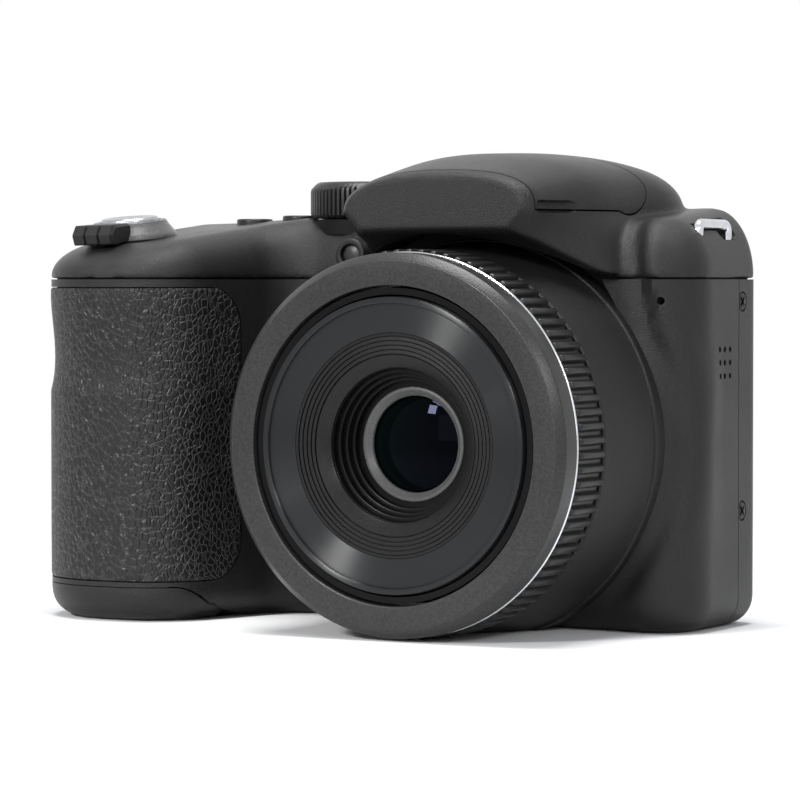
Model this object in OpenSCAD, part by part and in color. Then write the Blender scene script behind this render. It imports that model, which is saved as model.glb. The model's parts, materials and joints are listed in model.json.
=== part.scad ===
// Bridge camera: an assembly of separate pieces, in millimetres.
// X runs across the width, with the grip on the -X side. The lens looks along -Y. Z is up.
// The origin is on the base, straight below the lens axis.

/* [Housing] */
// From the lens axis to the speaker flank
flank_x = 38.3; // [37.5:0.1:42]
// From the lens axis to the grip's outer side
grip_x = 79.6; // [79:0.1:84]
// From the origin back to the rear face
rear_y = 17; // [16.8:0.1:20]
// From the origin forward to the front face at the flank
face_y = 14.5; // [14:0.1:17]
// From the origin forward to the front of the grip
grip_y = 36; // [35.5:0.1:42]
// Distance of the grip's inner wall from the lens axis, at the front
finger_x = 49; // [48:0.1:50]
// Distance of the hollow between grip and lens from the lens axis
hollow_x = 41; // [40:0.1:43]
// From the origin forward to the bottom of that hollow
hollow_y = 7.5; // [7:0.1:9]
// Wall of the covers
wall = 2.2; // [1.6:0.1:2.4]
// Rounding of the base's edge
base_r = 5; // [3:0.1:6]
// Height of the seam under the top cover
seam_z = 58.2; // [57:0.1:60]
// Height of the top at the lens axis
top_z = 68.4; // [67:0.1:70]
// How far the top's edge rounds in
shoulder_r = 9; // [6:0.1:10]
// Seam between the front and rear covers, behind the origin
seam_y = 6.8; // [6.4:0.1:7.2]
// Gap at every seam and round every button
seam = 0.2; // [0.15:0.05:0.3]

/* [Grip] */
// Thickness of the rubber skin
rubber_t = 1; // [0.6:0.1:1.2]
// Lower edge of the rubber skin
rubber_z = 8; // [7.5:0.1:12]
// Upper edge of the rubber skin
rubber_top = 56.8; // [50:0.1:57]
// Height of the battery door
door_h = 6; // [5:0.1:6.5]
// Radius of the door's hinge pin
door_pin_r = 1; // [0.8:0.05:1.2]
// Radius of a battery cell
cell_r = 7; // [6.5:0.05:7.1]
// Length of a battery cell, with its nub
cell_l = 50; // [48:0.1:50.5]

/* [Lens] */
// Height of the lens axis
lens_z = 31.5; // [31.5:0.1:33]
// Outer radius of the front rings
ring_r = 31.2; // [31:0.05:31.4]
// How far the skirt flares out where it meets the body
skirt_flare_t = 2.2; // [1.8:0.1:3]
// Depth of the front rings, down to the fixed lens housing
ring_t = 2.3; // [2:0.05:2.5]
// From the lens housing's face in to the cam ring's
housing_step = 1.7; // [1.6:0.05:1.8]
// From the cam ring's face in to the outer barrel's
cam_step = 1.85; // [1.8:0.05:2]
// From the outer barrel's face in to the front barrel's
barrel_step = 1.35; // [1.3:0.05:1.5]
// Outer radius of the front glass
front_glass_r = 9.4; // [9:0.1:9.6]
// Front of the lens, from the origin
lens_front = 44.5; // [44:0.1:46]
// Ridges round the grip ring
ridges = 86; // [60:1:100]

/* [Zoom drive] */
// Teeth on the cam ring
cam_teeth = 90; // [88:2:90]
// Teeth on the motor's gear
gear_teeth = 24; // [24:2:26]

/* [Flash] */
// Height of the flash lid's top
hump_z = 79.4; // [78.5:0.1:81]
// Hinge of the lid, forward of the origin
lid_axis_y = 7; // [6.5:0.1:8]
// Height of the lid's hinge
lid_axis_z = 74.6; // [74.4:0.1:74.8]
// Front edge of the lid, forward of the origin
lid_front = 28.6; // [28:0.1:28.8]
// Lower edge of the lid
lid_z = 69.6; // [69.5:0.1:70]
// Radius of the lid's hinge pin
lid_pin_r = 0.8; // [0.6:0.05:0.9]

/* [Controls] */
// Radius of the shutter button
shutter_r = 5; // [4.5:0.1:5.4]
// Outer radius of the zoom lever's collar
lever_r = 8; // [7.5:0.1:9]
// Radius of the mode dial
dial_r = 10; // [9:0.1:10.5]
// Radius of the small round buttons
button_r = 3.2; // [2.5:0.1:3.5]
// Radius of the four-way pad
pad_r = 10; // [9:0.1:10.5]
// How far a button stands out of its cover
button_proud = 0.8; // [0.7:0.1:1.2]

/* [Screen] */
// Width of the screen's window
window_w = 64; // [60:0.5:65]
// Height of the screen's window
window_h = 48; // [44:0.5:48]
// Thickness of the screen's window
window_t = 1.5; // [1.2:0.1:1.6]

/* [Fasteners and sockets] */
// Radius of the tripod thread
tripod_r = 3.175; // [3.1:0.005:3.2]
// Depth of the tripod thread
tripod_l = 5.5; // [5:0.1:5.8]
// Radius of a cover screw's head
screw_head_r = 1.6; // [1.4:0.05:1.8]

/* [Hidden] */
$fn = 48;
// Points along each rounded corner of the housing's outline
arc_n = 7;
// Smallest radius that an inset corner keeps
corner_min = 0.6;
// Slope of the top, along X and along Y
top_slope = [0.02, 0.1];
// A cut runs this far past the face that it opens
past = 1;
// Gap between pieces that move past each other
run = 0.3;
// Radial clearance of a pin in its bore
pin_gap = 0.05;

// Housing outline at mid height, as [x, y, corner radius], anticlockwise from the rear flank corner
outline_corners = [
    [flank_x - 0.8, rear_y, 5],
    [-grip_x, rear_y, 4],
    [-grip_x, -grip_y, 17],
    [-finger_x, -grip_y, 13],
    [-hollow_x, -hollow_y, 8],
    [flank_x, -face_y, 9]
];
// How far each edge of the outline, from its corner on, draws in as the top rounds over
shoulder_share = [0.5, 1, 1, 0.8, 0.8, 0.9];
// The same on all edges
even_share = [1, 1, 1, 1, 1, 1];

// Places of the pieces behind the lens, along Y
chassis_y = seam_y + 0.3;
chassis_t = 1.4;
board_y = chassis_y + chassis_t + 1;
board_t = 1.2;
inner_rear = rear_y - wall;

// Grip: battery cells as [x, y], and the door's hinge axis
cell_in = [10.3, 17.1];
cell_pitch = 14.5;
cell_spots = [
    [-grip_x + cell_in[0], -grip_y + cell_in[1]],
    [-grip_x + cell_in[0], -grip_y + cell_in[1] + cell_pitch],
    [-grip_x + cell_in[0] + cell_pitch, -grip_y + cell_in[1]],
    [-grip_x + cell_in[0] + cell_pitch, -grip_y + cell_in[1] + cell_pitch]
];
cell_z = door_h + 2.6;
cell_gap = 0.15;
box_wall = 0.8;
door_axis = [-finger_x - 0.5, door_h / 2];
door_front = -grip_y - past;
door_rear = seam_y - seam;
ear_ys = [-20, 3.4];
ear_t = 2.6;
ear_half = 2.4;
rubber_in = 3.1;
latch_x = -68;
latch_y = -8;
latch_size = [7, 5];
latch_travel = 3;
box_z = door_h + 0.8;
box_top = cell_z + cell_l + 1.2;
cell_order = [cell_spots[0], cell_spots[2], cell_spots[3], cell_spots[1]];

// Lens radii, from the front rings inwards
skirt_r = ring_r + skirt_flare_t;
housing_r = ring_r - ring_t;
cam_r = housing_r - housing_step;
outer_barrel_r = cam_r - cam_step;
front_barrel_r = outer_barrel_r - barrel_step;
// Module of the zoom gears, with the cam ring's pitch circle just below its face
gear_m = 2 * (cam_r - 0.2) / cam_teeth;

// Lens stack, as distances in front of the origin
skirt_start = 5;
skirt_rim = 15.5;
flare_r = 5;
skirt_end = 29.5;
knurl_start = skirt_end + 0.4;
chrome_start = lens_front - 5.7;
bezel_start = chrome_start + 0.7;
bezel_t = 1.6;
housing_start = -3;
barrel_gap = 0.3;
bezel_hole_r = outer_barrel_r + 0.4;
cam_wall = cam_r - outer_barrel_r - barrel_gap;
outer_wall = outer_barrel_r - front_barrel_r - barrel_gap;
gear_l = 2.7;
gear_start = housing_start - run - gear_l;
cam_pitch_r = gear_m * cam_teeth / 2;
gear_pitch_r = gear_m * gear_teeth / 2;
gear_x = -cam_pitch_r - gear_pitch_r;
gear_tip_r = cam_pitch_r + 0.85 * gear_m;
motor_shaft_r = 0.75;
motor_start = 2.6;
motor_l = 7;
motor_r = -gear_x - housing_r - run;
second_r = 11;
glass_start = lens_front - 13;
retainer_end = lens_front - 7.8;
rib_r = front_barrel_r - 6.1;
rib_pitch = 0.74;
rib_drop = 0.32;

// Top controls, as [x, y]
shutter_spot = [-65.7, -20];
dial_spot = [-31.3, 2];
power_spot = [-54, 2];
burst_spot = [-44.5, 2];
lamp_spot = [-25, 63];
lamp_r = 2.8;
lamp_front = 13;
stem_r = 2.2;
dish_r = 24;
dial_stem_r = 2;
top_board_z = box_top + 0.5;

// Rear controls, as [x, z]
pad_spot = [-54, 26];
ok_r = 4.3;
key_dx = 11.5;
key_dz = 16.7;
window_spot = [2, 31];

// Flash
window_half = 11;
lid_ear_x = 12;
lid_ear_t = 2;
lid_boss_r = 2.4;
lid_round_r = hump_z + 0.8 - lid_axis_z;
well_rear = -lid_axis_y + lid_round_r + run + 1.6;

// Flank and base
screw_zs = [54.5, 19.5];
screw_y = 8.4;
base_screw_xs = [-32, 30];
speaker_spot = [1, 44.4];
speaker_pitch = 2.2;
mic_spot = [33, 54.7];
tripod_y = 10.2;
lug_y = 2.2;
lug_r = 0.9;
lug_xs = [flank_x - 3.3, -grip_x + 3.8];
lug_pocket = [[flank_x - 4.9, lug_y + 0.6, seam_z + 6.6], [flank_x + 5, lug_y + 7, seam_z + 15]];
lug_wall = 2.2;
port_spot = [10, 34];
port_size = [5, 14];
port_flap_t = 1.2;
socket_end = 9;
rib_t = 0.5;
rib_drop_z = 2.4;
flank_rib_ys = [-6, -2, 2];
top_rib_xs = [flank_x - 9.3, flank_x - 7.5, flank_x - 5.7, -36.4, -39, -60.6];
hood_gap = 1.2;

// Outline with rounded corners: each edge is first drawn in by its share of the inset
function edge_normal(c, i) =
    let (a = c[i], b = c[(i + 1) % len(c)], d = [b[0] - a[0], b[1] - a[1]])
    [d[1], -d[0]] / norm(d);

function rounded_corner(c, i, inset, share) =
    let (
        k = (i + len(c) - 1) % len(c),
        n1 = edge_normal(c, k),
        n2 = edge_normal(c, i),
        cosine = n1 * n2,
        d1 = inset * share[k],
        d2 = inset * share[i],
        spread = 1 - cosine * cosine,
        q = -(d1 - cosine * d2) / spread * n1 - (d2 - cosine * d1) / spread * n2,
        side = n1[0] * n2[1] - n1[1] * n2[0] > 0 ? 1 : -1,
        r = max(c[i][2] - side * (d1 + d2) / 2, corner_min),
        centre = [c[i][0], c[i][1]] + q - side * r / (1 + cosine) * (n1 + n2),
        start = atan2(n1[1], n1[0]),
        turn = side * acos(cosine)
    )
    [for (j = [0 : arc_n]) let (a = start + turn * j / arc_n) centre + side * r * [cos(a), sin(a)]];

function rounded_outline(c, inset = 0, share = even_share) =
    [for (i = [0 : len(c) - 1]) each rounded_corner(c, i, inset, share)];

function housing_outline(inset = 0) = rounded_outline(outline_corners, inset);

// Height of the top over a point of the outline
function top_at(p) = top_z + top_slope[0] * p[0] + top_slope[1] * p[1];

// Closed solid through rings of equally many points
module loft(rings) {
    n = len(rings[0]);
    last = (len(rings) - 1) * n;
    points = [for (ring = rings) each ring];
    low_cap = [for (i = [0 : n - 1]) i];
    high_cap = [for (i = [n - 1 : -1 : 0]) last + i];
    sides = [
        for (k = [0 : n : last - n]) for (i = [0 : n - 1]) let (j = (i + 1) % n)
        each [[k + i, k + n + i, k + n + j], [k + i, k + n + j, k + j]]
    ];
    polyhedron(points, concat([low_cap], sides, [high_cap]));
}

// Lower housing as a solid, with its base's edge rounded
module lower_solid(inset = 0, top = seam_z, foot = 0) {
    steps = [0, 30, 60, 90];
    rings = [
        for (a = steps) let (z = base_r * (1 - cos(a)), draw = base_r * (1 - sin(a)))
        [for (p = housing_outline(inset + draw)) [p[0], p[1], z]]
    ];
    upper = [[for (p = housing_outline(inset)) [p[0], p[1], top]]];
    lowest = [for (p = rings[0]) [p[0], p[1], -foot]];
    loft(concat(foot > 0 ? [lowest] : [], rings, upper));
}

// Top housing as a solid: it rounds in from the seam to the sloping top
module upper_solid(inset = 0, low = seam_z, drop = 0) {
    steps = [0, 22, 44, 66, 90];
    bottom = [[for (p = housing_outline(inset)) [p[0], p[1], low]]];
    rings = [
        for (a = steps) [
            for (p = rounded_outline(outline_corners, inset + shoulder_r * (1 - cos(a)), shoulder_share))
            [p[0], p[1], seam_z + 0.6 + (top_at(p) - drop - seam_z - 0.6) * sin(a)]
        ]
    ];
    loft(concat(bottom, rings));
}

// Straight prism with the housing's outline
module housing_prism(inset, low, high) {
    translate([0, 0, low]) linear_extrude(high - low) polygon(housing_outline(inset));
}

// Places a shape that is modelled along +Z on the lens axis, looking forward
module on_lens_axis() {
    translate([0, 0, lens_z]) rotate([90, 0, 0]) children();
}

// Ring round the lens axis, between two distances in front of the origin
module lens_ring(start, end, inner_r, outer_r) {
    on_lens_axis() translate([0, 0, start]) difference() {
        cylinder(h = end - start, r = outer_r);
        translate([0, 0, -past]) cylinder(h = end - start + 2 * past, r = inner_r);
    }
}

// Box between two corners
module block(low, high) {
    translate(low) cube(high - low);
}

// Cylinder along Y from one place to another
module along_y(x, z, from, to, r) {
    translate([x, to, z]) rotate([90, 0, 0]) cylinder(h = to - from, r = r);
}

// Cylinder along X from one place to another
module along_x(y, z, from, to, r) {
    translate([from, y, z]) rotate([0, 90, 0]) cylinder(h = to - from, r = r);
}

// Toothed outline: a ridge on each pitch, from the root radius to the tip radius
module toothed(teeth, root_r, tip_r, root_share, tip_share, phase = 0) {
    pitch = 360 / teeth;
    polygon([
        for (i = [0 : teeth - 1]) for (e = [[-root_share, root_r], [-tip_share, tip_r],
            [tip_share, tip_r], [root_share, root_r]])
        let (a = (i + phase + e[0] / 2) * pitch) e[1] * [cos(a), sin(a)]
    ]);
}

module gear_outline(teeth, phase = 0) {
    pitch_r = gear_m * teeth / 2;
    toothed(teeth, pitch_r - 1.25 * gear_m, pitch_r + 0.85 * gear_m, 0.7, 0.2, phase);
}

// Hump sections along Y, each [y, low half width, low z, waist half width, waist z, top half width, top z]
// and how much wider the low point, the waist and the top are on the speaker's side
hump_rings = [
    [-30.6, 13.5, 66.4, 16.6, 69, 12.4, hump_z - 4.1, 0, 0, 0],
    [-29.2, 14.6, 65.6, 17.8, 69, 13.6, hump_z - 3.1, 0, 0, 0],
    [-22, 16.5, 65.6, 19, 69, 14.8, hump_z - 1.6, 0.8, 0.2, 0],
    [-13, 19, 65.6, 20.4, 69, 15.4, hump_z - 0.4, 3, 1, 0.4],
    [-4, 20.6, 65.6, 20.4, 69, 15.6, hump_z, 6.5, 4, 1.6],
    [4, 20.8, 65.6, 20.4, 69, 15.4, hump_z - 0.6, 8.2, 6, 2.6],
    [10, 20.4, 65.6, 20, 69, 14.6, hump_z - 2, 8.4, 6, 2.6],
    [15.4, 19, 65.6, 18.5, 68.4, 12, hump_z - 7, 8, 5, 2]
];

function hump_corners(s) = [
    [s[1] + s[7], s[2], 2], [s[3] + s[8], s[4], 2], [s[5] + s[9], s[6], 4],
    [-s[5], s[6], 4], [-s[3], s[4], 2], [-s[1], s[2], 2]
];

// The hump as a solid, drawn in by an inset
module hump_solid(inset = 0, front = 0, rear = 0) {
    last = len(hump_rings) - 1;
    loft([
        for (i = [last : -1 : 0]) let (s = hump_rings[i])
        [for (p = rounded_outline(hump_corners(s), inset)) [p[0], s[0] + (i == 0 ? front : i == last ? -rear : 0), p[1]]]
    ]);
}

// Side view of the flash lid, drawn out by a gap, as a bar across the hump
module lid_bar(gap) {
    half = 30;
    block([-half, -lid_front - gap, lid_z - gap], [half, -lid_axis_y, hump_z + 10]);
    along_x(-lid_axis_y, lid_axis_z, -half, half, lid_round_r + gap);
}

// Skirt round the lens as a solid: it tapers forward from the body
module skirt_solid(gap = 0) {
    on_lens_axis() rotate_extrude() polygon([
        [0, skirt_start], [skirt_r + gap, skirt_start], [skirt_r + gap, skirt_rim],
        [ring_r - 0.2 + gap, skirt_end], [0, skirt_end]
    ]);
}

// Hollow-faced flare that leads from the front face up to the skirt, below the top cover
module skirt_flare() {
    intersection() {
        on_lens_axis() rotate_extrude() polygon(concat(
            [[0, skirt_start]],
            [for (a = [0 : 22.5 : 90]) [skirt_r + flare_r * (1 - sin(a)), skirt_rim - flare_r * cos(a)]],
            [[0, skirt_rim]]
        ));
        block([-100, -100, 0], [100, 100, seam_z]);
    }
}

// Flat cut that keeps round parts above the base
module above_base(z = 0) {
    intersection() {
        children();
        block([-200, -200, z], [200, 200, 200]);
    }
}

// Skin of the grip that the rubber fills
module rubber_space(low, high, edge) {
    intersection() {
        difference() {
            housing_prism(-past, low, high);
            housing_prism(rubber_t, low - past, high + past);
        }
        block([-grip_x - 2 * past, -grip_y - 2 * past, low], [-hollow_x - rubber_in + edge, -10 + edge, high]);
    }
}

// Space of the battery door, drawn out by a gap
module door_space(gap) {
    rear = gap > 0 ? seam_y + past : door_rear;
    block([-grip_x - 2 * past, door_front - past, -past], [door_axis[0], rear, door_h + gap]);
    along_y(door_axis[0], door_axis[1], door_front - past, rear, door_h / 2 + gap);
}

// Room that the door's hinge edge sweeps as it swings down
module door_swing() {
    block([door_axis[0] - past, door_front, -past],
        [door_axis[0] + door_h / 2 + run, door_rear + past, door_axis[1]]);
}

// Speaker holes in the flank
module speaker_holes() {
    for (i = [-1 : 1]) for (k = [-1 : 1])
        along_x(speaker_spot[0] + i * speaker_pitch, speaker_spot[1] + k * speaker_pitch,
            flank_x - 6, flank_x + past, 0.5, $fn = 16);
}

// Slot through the grip's side with rounded corners, of a size along Y and Z
module side_slot(size, depth, r) {
    hull() for (i = [-1, 1]) for (k = [-1, 1])
        along_x(port_spot[0] + i * (size[0] / 2 - r), port_spot[1] + k * (size[1] / 2 - r),
            -grip_x - past, -grip_x + depth, r);
}

// Recess and opening for the port's flap in the grip's side
module port_recess() {
    side_slot(port_size + 2 * [seam, seam], port_flap_t + seam, 0.7);
    side_slot([4.4, 9.6], 5, 0.5);
}

// Moulded rib that tapers from its foot on a wall to its crest
module rib(foot_low, foot_high, crest_low, crest_high) {
    hull() {
        block(foot_low, foot_high);
        block(crest_low, crest_high);
    }
}

// Upright rib on the inside of a flank, from the wall at x, reaching inwards
module flank_rib(x, y, low, high, reach) {
    inward = x > 0 ? -1 : 1;
    from = x - inward * 0.6;
    to = x + inward * reach;
    rib([min(from, x), y - rib_t, low], [max(from, x), y + rib_t, high],
        [min(x, to), y - rib_t / 2, low + 1], [max(x, to), y + rib_t / 2, high - 1]);
}

// Rib that hangs from the inside of the top
module top_rib(x, low_y, high_y) {
    ceiling = top_at([x, low_y]) - wall;
    rib([x - rib_t, low_y, ceiling - 0.2], [x + rib_t, high_y, ceiling + 0.8],
        [x - rib_t / 2, low_y + 1, ceiling - rib_drop_z], [x + rib_t / 2, high_y - 1, ceiling]);
}

// Round hole through the rear cover, at [x, z]
module rear_hole(spot, r) {
    along_y(spot[0], spot[1], inner_rear - past, rear_y + past, r);
}

// Places of the four small keys round the pad
function key_spot(i, k) = [pad_spot[0] + i * key_dx, pad_spot[1] + k * key_dz];

// Covers

module front_cover() color("#3c3c3e") {
    difference() {
        union() {
            intersection() {
                lower_solid();
                block([-200, -200, -past], [200, seam_y, seam_z]);
            }
            above_base() skirt_solid();
            skirt_flare();
        }
        difference() {
            housing_prism(wall, wall, seam_z + past);
            on_lens_axis() translate([0, 0, hollow_y]) cylinder(h = 40, r = skirt_r + 1.5);
        }
        on_lens_axis() translate([0, 0, -30]) cylinder(h = 80, r = housing_r + 0.4);
        block([-100, -9, seam_z], [100, 50, 100]);
        rubber_space(rubber_z, rubber_top, 0);
        door_space(seam);
        door_swing();
        speaker_holes();
        along_y(mic_spot[0], mic_spot[1], -face_y - past, 0, 0.65, $fn = 16);
        tripod_hole();
    }
    // Ears that hold the door's hinge pin
    for (y = ear_ys) difference() {
        hull() {
            along_y(door_axis[0], door_axis[1], y, y + ear_t, ear_half);
            block([door_axis[0], y, 0.6], [door_axis[0] + 4.4, y + ear_t, door_h - 0.6]);
        }
        along_y(door_axis[0], door_axis[1], y - past, y + ear_t + past, door_pin_r + pin_gap);
    }
    for (y = flank_rib_ys) flank_rib(flank_x - wall - 0.2, y, 22, 36, 1.6);
    for (y = [-3, 3]) flank_rib(flank_x - wall - 0.2, y, 51.5, 57, 1.6);
    flank_rib(-grip_x + wall, seam_y - 1.8, 10, 54, 1.6);
}

module rear_cover() color("#3a3a3c") {
    half = [window_w, window_h] / 2;
    difference() {
        intersection() {
            lower_solid(0, seam_z + past, 1);
            block([-200, seam_y + seam, 0], [200, 200, seam_z]);
        }
        intersection() {
            housing_prism(wall, wall, seam_z + past);
            block([-200, 0, 0], [200, inner_rear, 100]);
        }
        block([window_spot[0] - half[0] - seam, rear_y - window_t - 0.1, window_spot[1] - half[1] - seam],
            [window_spot[0] + half[0] + seam, rear_y + past, window_spot[1] + half[1] + seam]);
        block([window_spot[0] - half[0] + 2, inner_rear - past, window_spot[1] - half[1] + 2],
            [window_spot[0] + half[0] - 2, rear_y, window_spot[1] + half[1] - 2]);
        rear_hole(pad_spot, pad_r + seam);
        for (i = [-1, 1]) for (k = [-1, 1]) rear_hole(key_spot(i, k), button_r + seam);
        for (z = screw_zs) {
            along_x(screw_y, z, flank_x - 1.6, flank_x + past, screw_head_r + 0.1);
            along_x(screw_y, z, flank_x - 6, flank_x, screw_head_r / 2 + 0.1);
        }
        for (x = base_screw_xs) {
            translate([x, screw_y + 2, -past]) cylinder(h = past + 1.35, r = screw_head_r + 0.1);
            translate([x, screw_y + 2, 0]) cylinder(h = 6, r = screw_head_r / 2 + 0.1);
        }
        tripod_hole();
        port_recess();
    }
}

module top_cover() color("#3c3c3e") {
    pad_half = button_r + 1.35;
    difference() {
        union() {
            upper_solid(0, seam_z + seam);
            hump_solid();
        }
        difference() {
            union() {
                upper_solid(wall, seam_z - past, wall);
                intersection() {
                    hump_solid(1.8, 1.6, 1.6);
                    block([-100, well_rear, 60], [100, 100, 100]);
                }
            }
            // Floor and side walls of the well under the flash lid
            block([-24, -40, 64], [24, well_rear, lid_z - run + past]);
            // Flat pads under the two top buttons
            for (p = [power_spot, burst_spot]) block([p[0] - pad_half, p[1] - pad_half, top_at(p) - wall - 0.45],
                [p[0] + pad_half, p[1] + pad_half, 80]);
            // Walls of the strap lug's pocket
            block(lug_pocket[0] - lug_wall * [1, 1, 1], lug_pocket[1] + lug_wall * [1, 1, 1]);
        }
        lid_bar(run);
        above_base() skirt_solid(hood_gap);
        on_lens_axis() cylinder(h = 60, r = housing_r + 1);
        shutter_axis() translate([0, 0, -8]) cylinder(h = 20, r = stem_r + seam);
        for (p = [power_spot, burst_spot]) translate([p[0], p[1], seam_z]) cylinder(h = 20, r = button_r + run);
        translate([dial_spot[0], dial_spot[1], seam_z]) cylinder(h = 20, r = dial_stem_r + pin_gap);
        along_y(lamp_spot[0], lamp_spot[1], -40, -5, lamp_r + pin_gap);
        for (x = lug_xs) {
            for (s = [-1, 1]) translate([x, lug_y + s * lug_half(x), seam_z]) cylinder(h = 20, r = lug_r + pin_gap);
            along_y(x, lug_crown(x), lug_y - lug_half(x) - lug_r, lug_y + lug_half(x) + lug_r, lug_r + 0.15);
        }
        block(lug_pocket[0], lug_pocket[1]);
    }
    // Ears that hold the flash lid's hinge pins
    for (s = [-1, 1]) difference() {
        hull() {
            along_x(-lid_axis_y, lid_axis_z, s * lid_ear_x - lid_ear_t / 2, s * lid_ear_x + lid_ear_t / 2,
                lid_boss_r - 0.6);
            block([s * lid_ear_x - lid_ear_t / 2, -lid_axis_y - lid_boss_r + 0.6, lid_z - 1.5],
                [s * lid_ear_x + lid_ear_t / 2, -lid_axis_y + lid_boss_r - 0.6, lid_z]);
        }
        along_x(-lid_axis_y, lid_axis_z, s * lid_ear_x - lid_ear_t, s * lid_ear_x + lid_ear_t, lid_pin_r + pin_gap);
    }
    for (x = top_rib_xs) top_rib(x, -4, 5);
}

module grip_rubber() color("#48484a") {
    rubber_gap = 0.1;
    intersection() {
        rubber_space(rubber_z + rubber_gap, rubber_top - rubber_gap, -rubber_gap);
        housing_prism(0, 0, 100);
    }
}

module battery_door() color("#3a3a3c") difference() {
    intersection() {
        lower_solid();
        door_space(0);
    }
    intersection() {
        housing_prism(wall, wall, 100);
        block([-200, -200, 0], [door_axis[0] - door_h / 2, door_rear - wall, 100]);
    }
    for (y = ear_ys)
        block([door_axis[0] - ear_half - run, y - run, -past], [0, y + ear_t + run, door_h + past]);
    along_y(door_axis[0], door_axis[1], ear_ys[0] - 0.2, ear_ys[1] + ear_t + 0.2, door_pin_r + pin_gap);
    block([latch_x - 0.3, latch_y - 0.3, -past], [latch_x + latch_size[0] + latch_travel + 0.3,
        latch_y + latch_size[1] + 0.3, wall + past]);
}

module battery_latch() color("#333335") {
    block([latch_x, latch_y, 0.25], [latch_x + latch_size[0], latch_y + latch_size[1], wall + 0.2]);
    block([latch_x - 1.2, latch_y - 1.2, wall + run], [latch_x + latch_size[0] + 1.2,
        latch_y + latch_size[1] + 1.2, wall + run + 0.9]);
    block([latch_x + 1, latch_y + 1, wall], [latch_x + latch_size[0] - 1, latch_y + latch_size[1] - 1, wall + 0.5]);
}

module door_hinge_pin() color("#b8b8bc")
    along_y(door_axis[0], door_axis[1], ear_ys[0], ear_ys[1] + ear_t, door_pin_r);

module port_cover() color("#2c2c2e") {
    half = port_size / 2;
    low = port_spot[1] - half[1];
    block([-grip_x, port_spot[0] - half[0], low + port_flap_t / 2],
        [-grip_x + port_flap_t, port_spot[0] + half[0], port_spot[1] + half[1]]);
    along_y(-grip_x + port_flap_t / 2, low + port_flap_t / 2, port_spot[0] - half[0], port_spot[0] + half[0],
        port_flap_t / 2);
}

module usb_socket() color("#a9a9ad") difference() {
    block([-grip_x + 2.6, port_spot[0] - 1.9, port_spot[1] - 4.5],
        [-grip_x + socket_end, port_spot[0] + 1.9, port_spot[1] + 4.5]);
    block([-grip_x, port_spot[0] - 1.4, port_spot[1] - 4],
        [-grip_x + socket_end - 1, port_spot[0] + 1.4, port_spot[1] + 4]);
}

// Lens

module front_bezel() color("#454547") {
    on_lens_axis() rotate_extrude() polygon([
        [housing_r + 0.05, bezel_start], [ring_r + 0.1, bezel_start], [ring_r + 0.1, lens_front - 1.1],
        [ring_r - 1.1, lens_front], [bezel_hole_r, lens_front], [bezel_hole_r, lens_front - bezel_t],
        [housing_r + 0.05, lens_front - bezel_t]
    ]);
}

module chrome_ring() color("#d8d8dc")
    lens_ring(chrome_start, bezel_start, housing_r + 0.05, ring_r + 0.2);

module knurled_ring() color("#353537") {
    on_lens_axis() translate([0, 0, knurl_start]) linear_extrude(chrome_start - knurl_start) difference() {
        toothed(ridges, ring_r - 0.9, ring_r, 0.66, 0.36);
        circle(r = housing_r + 0.05);
    }
}

module lens_housing() color("#2a2a2c") {
    inner_r = cam_r + barrel_gap;
    lens_ring(housing_start, lens_front - bezel_t - 0.1, inner_r, housing_r);
    // Legs that stand on the chassis, clear of the zoom gear
    for (a = [45 : 90 : 315]) intersection() {
        lens_ring(-chassis_y, housing_start, gear_tip_r + 0.3, housing_r);
        on_lens_axis() translate([0, 0, -20]) rotate(a) linear_extrude(40)
            polygon([[0, 0], [40 * cos(16), -40 * sin(16)], [40 * cos(16), 40 * sin(16)]]);
    }
}

module cam_ring() color("#8d8d92") {
    inner_r = cam_r - cam_wall;
    lens_ring(housing_start - run, 38, inner_r, cam_r);
    on_lens_axis() translate([0, 0, gear_start]) linear_extrude(gear_l) difference() {
        gear_outline(cam_teeth);
        circle(r = inner_r);
    }
}

module zoom_gear() color("#d9d4c4") on_motor_axis() translate([0, 0, gear_start]) linear_extrude(gear_l - 0.2)
    difference() {
        gear_outline(gear_teeth, 0.5);
        circle(r = motor_shaft_r + pin_gap);
    }

module zoom_motor() color("#9a9aa0") on_motor_axis() {
    translate([0, 0, -motor_start]) cylinder(h = motor_l, r = motor_r);
    translate([0, 0, gear_start - 0.5]) cylinder(h = -gear_start + 0.5 + 1, r = motor_shaft_r);
}

module on_motor_axis() {
    translate([gear_x, 0, 0]) on_lens_axis() children();
}

module outer_barrel() color("#77777c") {
    inner_r = outer_barrel_r - outer_wall;
    lens_ring(2, lens_front - 0.9, inner_r, outer_barrel_r);
    lens_ring(2, 3.2, second_r - 1, inner_r + 0.1);
}

module second_lens() color("#9fb4c4") on_lens_axis() translate([0, 0, 3.2]) cylinder(h = 3, r = second_r);

module front_barrel() color("#28282a") {
    inner_r = front_barrel_r - 1.2;
    lens_ring(6.6, lens_front - 1.5, inner_r, front_barrel_r);
    lens_ring(glass_start - 1, glass_start, front_glass_r - 1.4, inner_r + 0.1);
    lens_ring(glass_start - 1, retainer_end, front_glass_r + pin_gap, front_glass_r + 1.1);
}

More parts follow.
